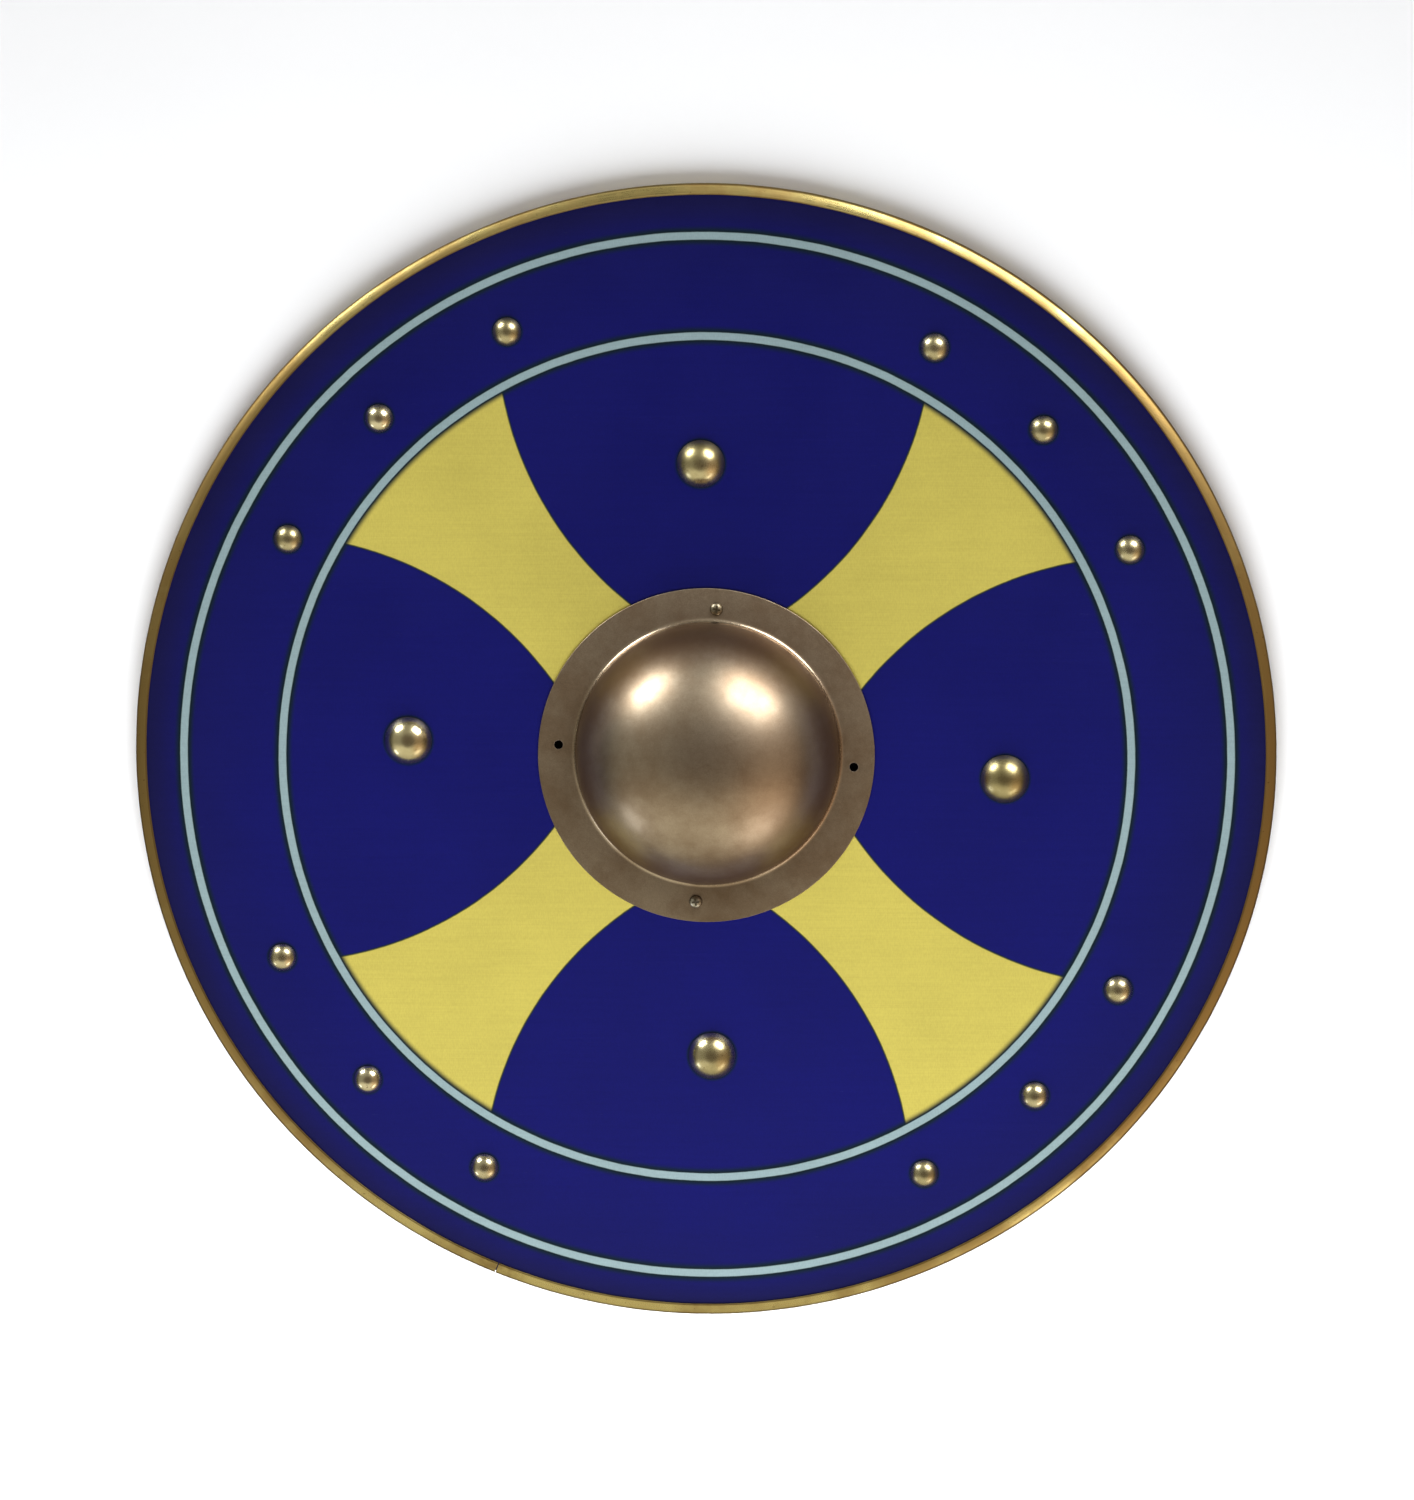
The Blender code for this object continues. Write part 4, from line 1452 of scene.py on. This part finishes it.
@dataclass
class Boss:
    """The hollow domed steel shell with its flange."""

    forge: Forge
    levels: Levels
    dome_radius: float = 0.0700
    sheet: float = 0.0015
    fillet: float = 0.0030
    hole_radius: float = 0.00225
    drill_heights: tuple[float, float] = (-0.001, 0.004)
    edge: float = 0.0003
    uneven: float = 0.00022
    uneven_scale: float = 24.0
    dome_steps: int = 64
    fillet_steps: int = 10
    edge_steps: int = 4
    sides: int = 288

    def profile(self) -> Outline:
        """Walks the sheet's section from the crown outside to the crown inside."""
        low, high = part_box("boss")
        base = low.z + self.sheet + self.fillet
        rim, edge, rise = (high.x - low.x) / 2, self.edge, high.z - base
        foot = (self.dome_radius + self.fillet, base)
        points = dome(self.dome_radius, rise, base, self.dome_steps)
        points += arc(foot, self.fillet, 180.0, 270.0, self.fillet_steps)[1:]
        points += arc((rim - edge, low.z + self.sheet - edge), edge, 90.0, 0.0, self.edge_steps)
        points += arc((rim - edge, low.z + edge), edge, 0.0, -90.0, self.edge_steps)
        points += arc(foot, self.fillet + self.sheet, 270.0, 180.0, self.fillet_steps)
        hollow = dome(self.dome_radius - self.sheet, rise - self.sheet, base, self.dome_steps)
        return points + list(reversed(hollow))[1:]

    def build(self) -> bpy.types.Object:
        """Makes the boss and dresses it."""
        low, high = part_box("boss")
        rim = (high.x - low.x) / 2
        centre = self.levels.dome_centre
        holes = tuple((place, self.hole_radius) for place in self.levels.boss_holes)
        finish = BossSteel(tuple(centre), self.dome_radius, self.fillet, low.z + self.sheet, holes)
        boss = self.forge.turned(
            "steel_boss",
            self.profile(),
            self.sides,
            centre,
            finish.material(),
            Shift=tuple(-self.levels.dome_shift),
            Shift_Start=self.dome_radius + self.fillet,
            Shift_End=rim - self.sheet,
            Uneven=self.uneven,
            Uneven_Scale=self.uneven_scale,
        )
        ends = (low.z + height for height in self.drill_heights)
        bits = self.forge.drill("flange_holes", self.hole_radius, *ends, self.levels.boss_holes)
        return dressed(carved(boss, bits), ["boss"])


@dataclass
class BossScrews:
    """The two round-headed screws that are left in the boss's flange."""

    forge: Forge
    levels: Levels
    head_radius: float = 0.0035
    head_height: float = 0.0022
    shank_radius: float = 0.0017
    point: float = 0.0025
    recess: tuple[float, float, float] = (0.0040, 0.0009, 0.0024)
    dent: float = 0.00006
    seed: int = 3
    dome_steps: int = 14
    sides: int = 40

    def build(self) -> bpy.types.Object:
        """Makes the screws and dresses them."""
        low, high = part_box("boss_screw_top")
        seat = high.z - self.head_height
        length = seat - low.z
        profile = dome(self.head_radius, self.head_height, 0.0, self.dome_steps)
        profile += [(self.shank_radius, 0.0), (self.shank_radius, self.point - length), (0.0, -length)]
        screw = self.forge.turned("screw", profile, self.sides)
        crown = Matrix.Translation((0.0, 0.0, self.head_height))
        arms = [
            box_about(f"recess_{turn}", self.recess, crown @ Matrix.Rotation(math.radians(turn), 4, "Z"))
            for turn in (0, 90)
        ]
        carved(screw, *arms)
        top, _, bottom, _ = self.levels.boss_holes
        places = [Vector((hole.x, hole.y, seat)) for hole in (top, bottom)]
        zinc = ScrewZinc(high.z, (top, self.head_radius)).material()
        group = self.forge.placed("boss_screws", screw, places, zinc, Seed=self.seed, Dent=self.dent)
        return dressed(group, ["boss_screw_top", "boss_screw_bottom"])


class StudSize(Enum):
    """The two kinds of brass head, by the start of their nodes' names."""

    SMALL_NAIL = "small_nail_"
    LARGE_RIVET = "large_rivet_"

    @property
    def tints(self) -> tuple[Colour, Colour]:
        """The polished and the dulled colour of this kind's brass."""
        if self is StudSize.SMALL_NAIL:
            return tint(228, 222, 194), tint(168, 160, 120)
        return tint(228, 221, 186), tint(166, 156, 110)


@dataclass
class Studs:
    """One kind of domed brass head, at all its places."""

    forge: Forge
    size: StudSize
    head_height: float
    shank_radius: float
    seed: int
    tail_radius: float = 0.0
    tail_height: float = 0.0
    point: float = 0.0
    lip: float = 0.0004
    tilt: float = math.radians(0.7)
    spread: float = 0.012
    dent: float = 0.00010
    roughness: tuple[float, float] = (0.17, 0.27)
    cap_steps: int = 22
    tail_steps: int = 4
    sides: int = 48

    def profile(self, radius: float, length: float) -> Outline:
        """Walks a head's and its shank's section from the crown to the shank's end.

        Args:
            radius: The head's radius.
            length: How far the shank runs below the head's underside.

        Returns:
            The section, with the underside at height zero.
        """
        points = cap(radius, self.head_height - self.lip, self.lip, self.cap_steps)
        points += [(radius - self.lip / 2, 0.0), (self.shank_radius, 0.0)]
        if self.tail_radius:
            top, half = self.tail_height - length, self.tail_height / 2
            bulge = arc((self.tail_radius - half, top - half), half, 90.0, -90.0, self.tail_steps)
            return points + [(self.shank_radius, top)] + bulge + [(0.0, -length)]
        return points + [(self.shank_radius, self.point - length), (0.0, -length)]

    def build(self) -> bpy.types.Object:
        """Makes the heads and dresses them."""
        nodes = numbered(self.size.value)
        low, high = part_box(nodes[0])
        seat = high.z - self.head_height
        profile = self.profile((high.x - low.x) / 2, seat - low.z)
        head = self.forge.turned(self.size.value + "head", profile, self.sides)
        places = [Vector((p.x, p.y, seat)) for p in map(node_middle, nodes)]
        finish = Brass(self.size.value + "brass", Polish.EVERY_WAY, *self.size.tints, self.roughness)
        settings = {"Tilt": self.tilt, "Spread": self.spread, "Dent": self.dent, "Seed": self.seed}
        group = self.forge.placed(self.size.value + "heads", head, places, finish.material(), **settings)
        return dressed(group, nodes)


@dataclass
class Grip:
    """The wooden bar across the hand hole, flat where it is let in and round where it is held."""

    forge: Forge
    levels: Levels
    thickness: float = 0.0200
    end_corner: float = 0.0008
    hand_corner: float = 0.0070
    hand_half_length: float = 0.0360
    shoulder: float = 0.0570
    corner_steps: int = 7
    hand_steps: int = 6
    shoulder_steps: int = 20
    end_steps: int = 8

    def section(self, share: float) -> Outline:
        """Walks the bar's section.

        Args:
            share: How far it has swelled from the flat end to the hand's section.

        Returns:
            The section, as points across and up.
        """
        let_in, half = self.levels.grip_let_in, self.levels.grip_width / 2
        high = let_in + (self.thickness - let_in) * share
        corner = self.end_corner + (self.hand_corner - self.end_corner) * share
        points: Outline = []
        for side, up, start in ((1, 1, 0.0), (-1, 1, 90.0), (-1, 0, 180.0), (1, 0, 270.0)):
            centre = (side * (half - corner), high - corner if up else corner)
            points += arc(centre, corner, start, start + 90.0, self.corner_steps)
        return points

    def stations(self) -> list[tuple[float, float]]:
        """Lists where the sections stand along the bar, and how far each has swelled.

        Returns:
            Distances from the bar's middle, each with its share of the hand's section.
        """
        half_length, hand = self.levels.grip_length / 2, self.hand_half_length
        listed = [(hand * i / self.hand_steps, 1.0) for i in range(self.hand_steps)]
        for i in range(self.shoulder_steps + 1):
            share = i / self.shoulder_steps
            listed.append((hand + (self.shoulder - hand) * share, 1.0 - share * share * (3 - 2 * share)))
        rest = half_length - self.end_corner - self.shoulder
        listed += [(self.shoulder + rest * i / self.end_steps, 0.0) for i in range(1, self.end_steps + 1)]
        listed.append((half_length, 0.0))
        return [(-x, share) for x, share in reversed(listed[1:])] + listed

    def bar(self) -> bpy.types.Object:
        """Makes the bar, in its place on the shield and with its ends eased."""
        shape, place = bmesh.new(), self.levels.grip_place
        stations, rings = self.stations(), []
        for number, (x, share) in enumerate(stations):
            inset = self.end_corner / 2 if number in (0, len(stations) - 1) else 0.0
            ring = []
            for across, up in self.section(share):
                drawn_in = across - math.copysign(inset, across)
                raised = min(max(up, inset), self.levels.grip_let_in - inset) if inset else up
                ring.append(shape.verts.new(place @ Vector((x, drawn_in, raised))))
            rings.append(ring)
        for first, second in zip(rings, rings[1:]):
            for i, corner in enumerate(first):
                after = (i + 1) % len(first)
                shape.faces.new((corner, second[i], second[after], first[after]))
        shape.faces.new(rings[0])
        shape.faces.new(list(reversed(rings[-1])))
        bmesh.ops.recalc_face_normals(shape, faces=shape.faces)
        return linked("grip_bar", shape)

    def build(self) -> bpy.types.Object:
        """Makes the grip and dresses it."""
        levels, grip, place = self.levels, self.bar(), self.levels.grip_place
        let_in, turn = levels.grip_let_in, place.to_euler().z
        screw_holes = tuple((hole, levels.pilot_hole_radius) for hole in levels.boss_holes)
        finish = GripWood(tuple(place.translation), turn, let_in, self.hand_half_length, screw_holes)
        grip.data.materials.append(finish.material())
        low, high = levels.back_z - levels.drill_beyond, levels.back_z + 2 * let_in
        bits = self.forge.drill("grip_holes", levels.rivet_hole_radius, low, high, levels.grip_rivets)
        return dressed(carved(grip, bits), ["grip"])


@dataclass
class Softbox:
    """One rectangular studio light, aimed at the shield.

    Azimuth is counted from +X towards +Y, and elevation from the floor. The glow is how bright
    the light's surface looks, whatever its size.
    """

    name: str
    azimuth: float
    elevation: float
    distance: float
    size: tuple[float, float]
    glow: float
    colour: tuple[float, float, float] = (1.0, 1.0, 1.0)
    mirrored: bool = True
    lights_paint: bool = True

    def build(self) -> bpy.types.Object:
        """Makes the light."""
        around, up = math.radians(self.azimuth), math.radians(self.elevation)
        direction = Vector((math.cos(around) * math.cos(up), math.sin(around) * math.cos(up), math.sin(up)))
        data = bpy.data.lights.new(self.name, "AREA")
        data.shape = "RECTANGLE"
        data.size, data.size_y = self.size
        data.energy = self.glow * math.pi * self.size[0] * self.size[1]
        data.color = self.colour
        light = bpy.data.objects.new(self.name, data)
        light.location = direction * self.distance
        light.rotation_mode = "QUATERNION"
        light.rotation_quaternion = direction.to_track_quat("Z", "Y")
        light.visible_glossy = self.mirrored
        light.visible_diffuse = self.lights_paint
        bpy.context.scene.collection.objects.link(light)
        return light


@dataclass
class Studio:
    """The pale floor, the soft lights and the camera."""

    levels: Levels
    aim: tuple[float, float] = (0.0017, 0.0036)
    lean: float = math.radians(8.52)
    lean_towards: tuple[float, float] = (0.300, 0.954)
    distance: float = 3.0895
    lens: float = 138.8
    sensor_width: float = 36.0
    clip: tuple[float, float] = (0.1, 100.0)
    floor_side: float = 9.0
    floor_drop: float = 0.0003
    room: Colour = (0.42, 0.38, 0.28, 1.0)
    room_right: Colour = (0.48, 0.33, 0.20, 1.0)
    ceiling: Colour = (0.13, 0.10, 0.07, 1.0)
    daylight: Colour = (0.42, 0.42, 0.43, 1.0)
    rightwards: Ramp = Ramp(0.1, 0.7)
    wall_glow: Ramp = Ramp(0.15, 0.60, 0.72, 2.05)
    far_floor_glow: Ramp = Ramp(0.3, 0.95, 0.12, 0.25)
    near_floor: tuple[float, float] = (0.3, 0.95)
    near_floor_glow: float = 1.4
    horizon: tuple[float, float] = (0.0, 0.45)
    under_ceiling: Ramp = Ramp(0.75, 0.98)
    softboxes: tuple[Softbox, ...] = (
        Softbox("softbox_left", 133.0, 17.0, 2.4, (0.95, 0.60), 20.0, (1.0, 0.98, 0.88), lights_paint=False),
        Softbox("softbox_right", 54.0, 30.0, 2.4, (1.30, 0.90), 14.0, (1.0, 0.96, 0.86), lights_paint=False),
        Softbox("fill_left", 222.0, 11.0, 2.6, (0.70, 0.45), 2.2, (0.96, 0.98, 1.0)),
        Softbox("fill_right", 304.0, 20.0, 2.6, (1.20, 0.45), 2.2, (1.0, 0.94, 0.84)),
        Softbox("overhead", 270.0, 47.0, 1.18, (1.5, 1.5), 4.1, (0.98, 0.99, 1.0), mirrored=False),
    )

    def floor(self) -> bpy.types.Object:
        """Makes the floor."""
        shape = bmesh.new()
        bmesh.ops.create_grid(shape, x_segments=1, y_segments=1, size=self.floor_side / 2)
        bmesh.ops.translate(shape, vec=(0.0, 0.0, -self.floor_drop), verts=shape.verts)
        floor = linked("studio_floor", shape)
        floor.data.materials.append(StudioFloor().material())
        floor.visible_glossy = False
        floor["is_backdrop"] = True
        return floor

    def surroundings(self) -> None:
        """Makes the room's even light, and the dim warm walls and ceiling that metal mirrors."""
        world = bpy.data.worlds.new("studio")
        world.use_nodes = True
        bpy.context.scene.world = world
        graph = Graph(world.node_tree)
        x, y, z = graph.parts_of(graph.add("ShaderNodeTexCoord").outputs["Generated"])
        nearer = graph.sum("MULTIPLY", y, -1.0)
        far_floor = graph.ease(y, *self.far_floor_glow)
        low = graph.ease(nearer, *self.near_floor, far_floor, self.near_floor_glow)
        glow = graph.ease(z, *self.horizon, low, graph.ease(nearer, *self.wall_glow))
        room = graph.mixed(graph.ease(x, *self.rightwards), self.room, self.room_right)
        walls = graph.vector("MULTIPLY", room, graph.joined(glow, glow, glow))
        seen = graph.mixed(graph.ease(z, *self.under_ceiling), walls, self.ceiling)
        mirrored = graph.add("ShaderNodeLightPath").outputs["Is Glossy Ray"]
        colour = graph.mixed(mirrored, self.daylight, seen)
        graph.feed(world.node_tree.nodes["Background"].inputs["Color"], colour)

    def camera(self) -> bpy.types.Object:
        """Sets the camera where the photograph was taken from."""
        right, up = self.lean_towards
        rise = math.sin(self.lean)
        data = bpy.data.cameras.new("camera")
        data.lens, data.sensor_width = self.lens, self.sensor_width
        data.clip_start, data.clip_end = self.clip
        camera = bpy.data.objects.new("camera", data)
        aim = Vector((*self.aim, self.levels.face_z))
        camera.location = aim + self.distance * Vector((right * rise, up * rise, math.cos(self.lean)))
        camera.rotation_mode = "QUATERNION"
        tilt = Matrix.Rotation(-self.lean, 4, Vector((up, -right, 0.0)))
        camera.rotation_quaternion = tilt.to_quaternion()
        bpy.context.scene.collection.objects.link(camera)
        bpy.context.scene.camera = camera
        return camera

    def build(self) -> None:
        """Makes the whole studio."""
        self.floor()
        self.surroundings()
        for softbox in self.softboxes:
            softbox.build()
        self.camera()
        bpy.context.scene.view_settings.view_transform = "Standard"


def write_sizes() -> None:
    """Gathers the frame's box and the dressed part's box as plain lists; nothing is written.
    """
    boxes = {"cad": CAD_BOX, "visual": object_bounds()}
    plain = {name: [list(corner) for corner in box] for name, box in boxes.items()}


def main() -> None:
    """Builds the studio and each sub-assembly in order."""
    logging.basicConfig(level=logging.INFO, format="%(name)s: %(message)s")
    forge, levels = Forge(), Levels()
    Studio(levels).build()
    assemblies = (
        Board(forge, levels),
        Edging(forge),
        Boss(forge, levels),
        BossScrews(forge, levels),
        Studs(forge, StudSize.SMALL_NAIL, head_height=0.0052, shank_radius=0.0012, seed=11, point=0.0030),
        Studs(
            forge,
            StudSize.LARGE_RIVET,
            head_height=0.0086,
            shank_radius=0.0020,
            seed=7,
            tail_radius=0.0045,
            tail_height=0.0006,
        ),
        Grip(forge, levels),
    )
    for assembly in assemblies:
        piece = assembly.build()
        LOG.info("made %s", piece.name)
    write_sizes()


if __name__ == "__main__":
    main()
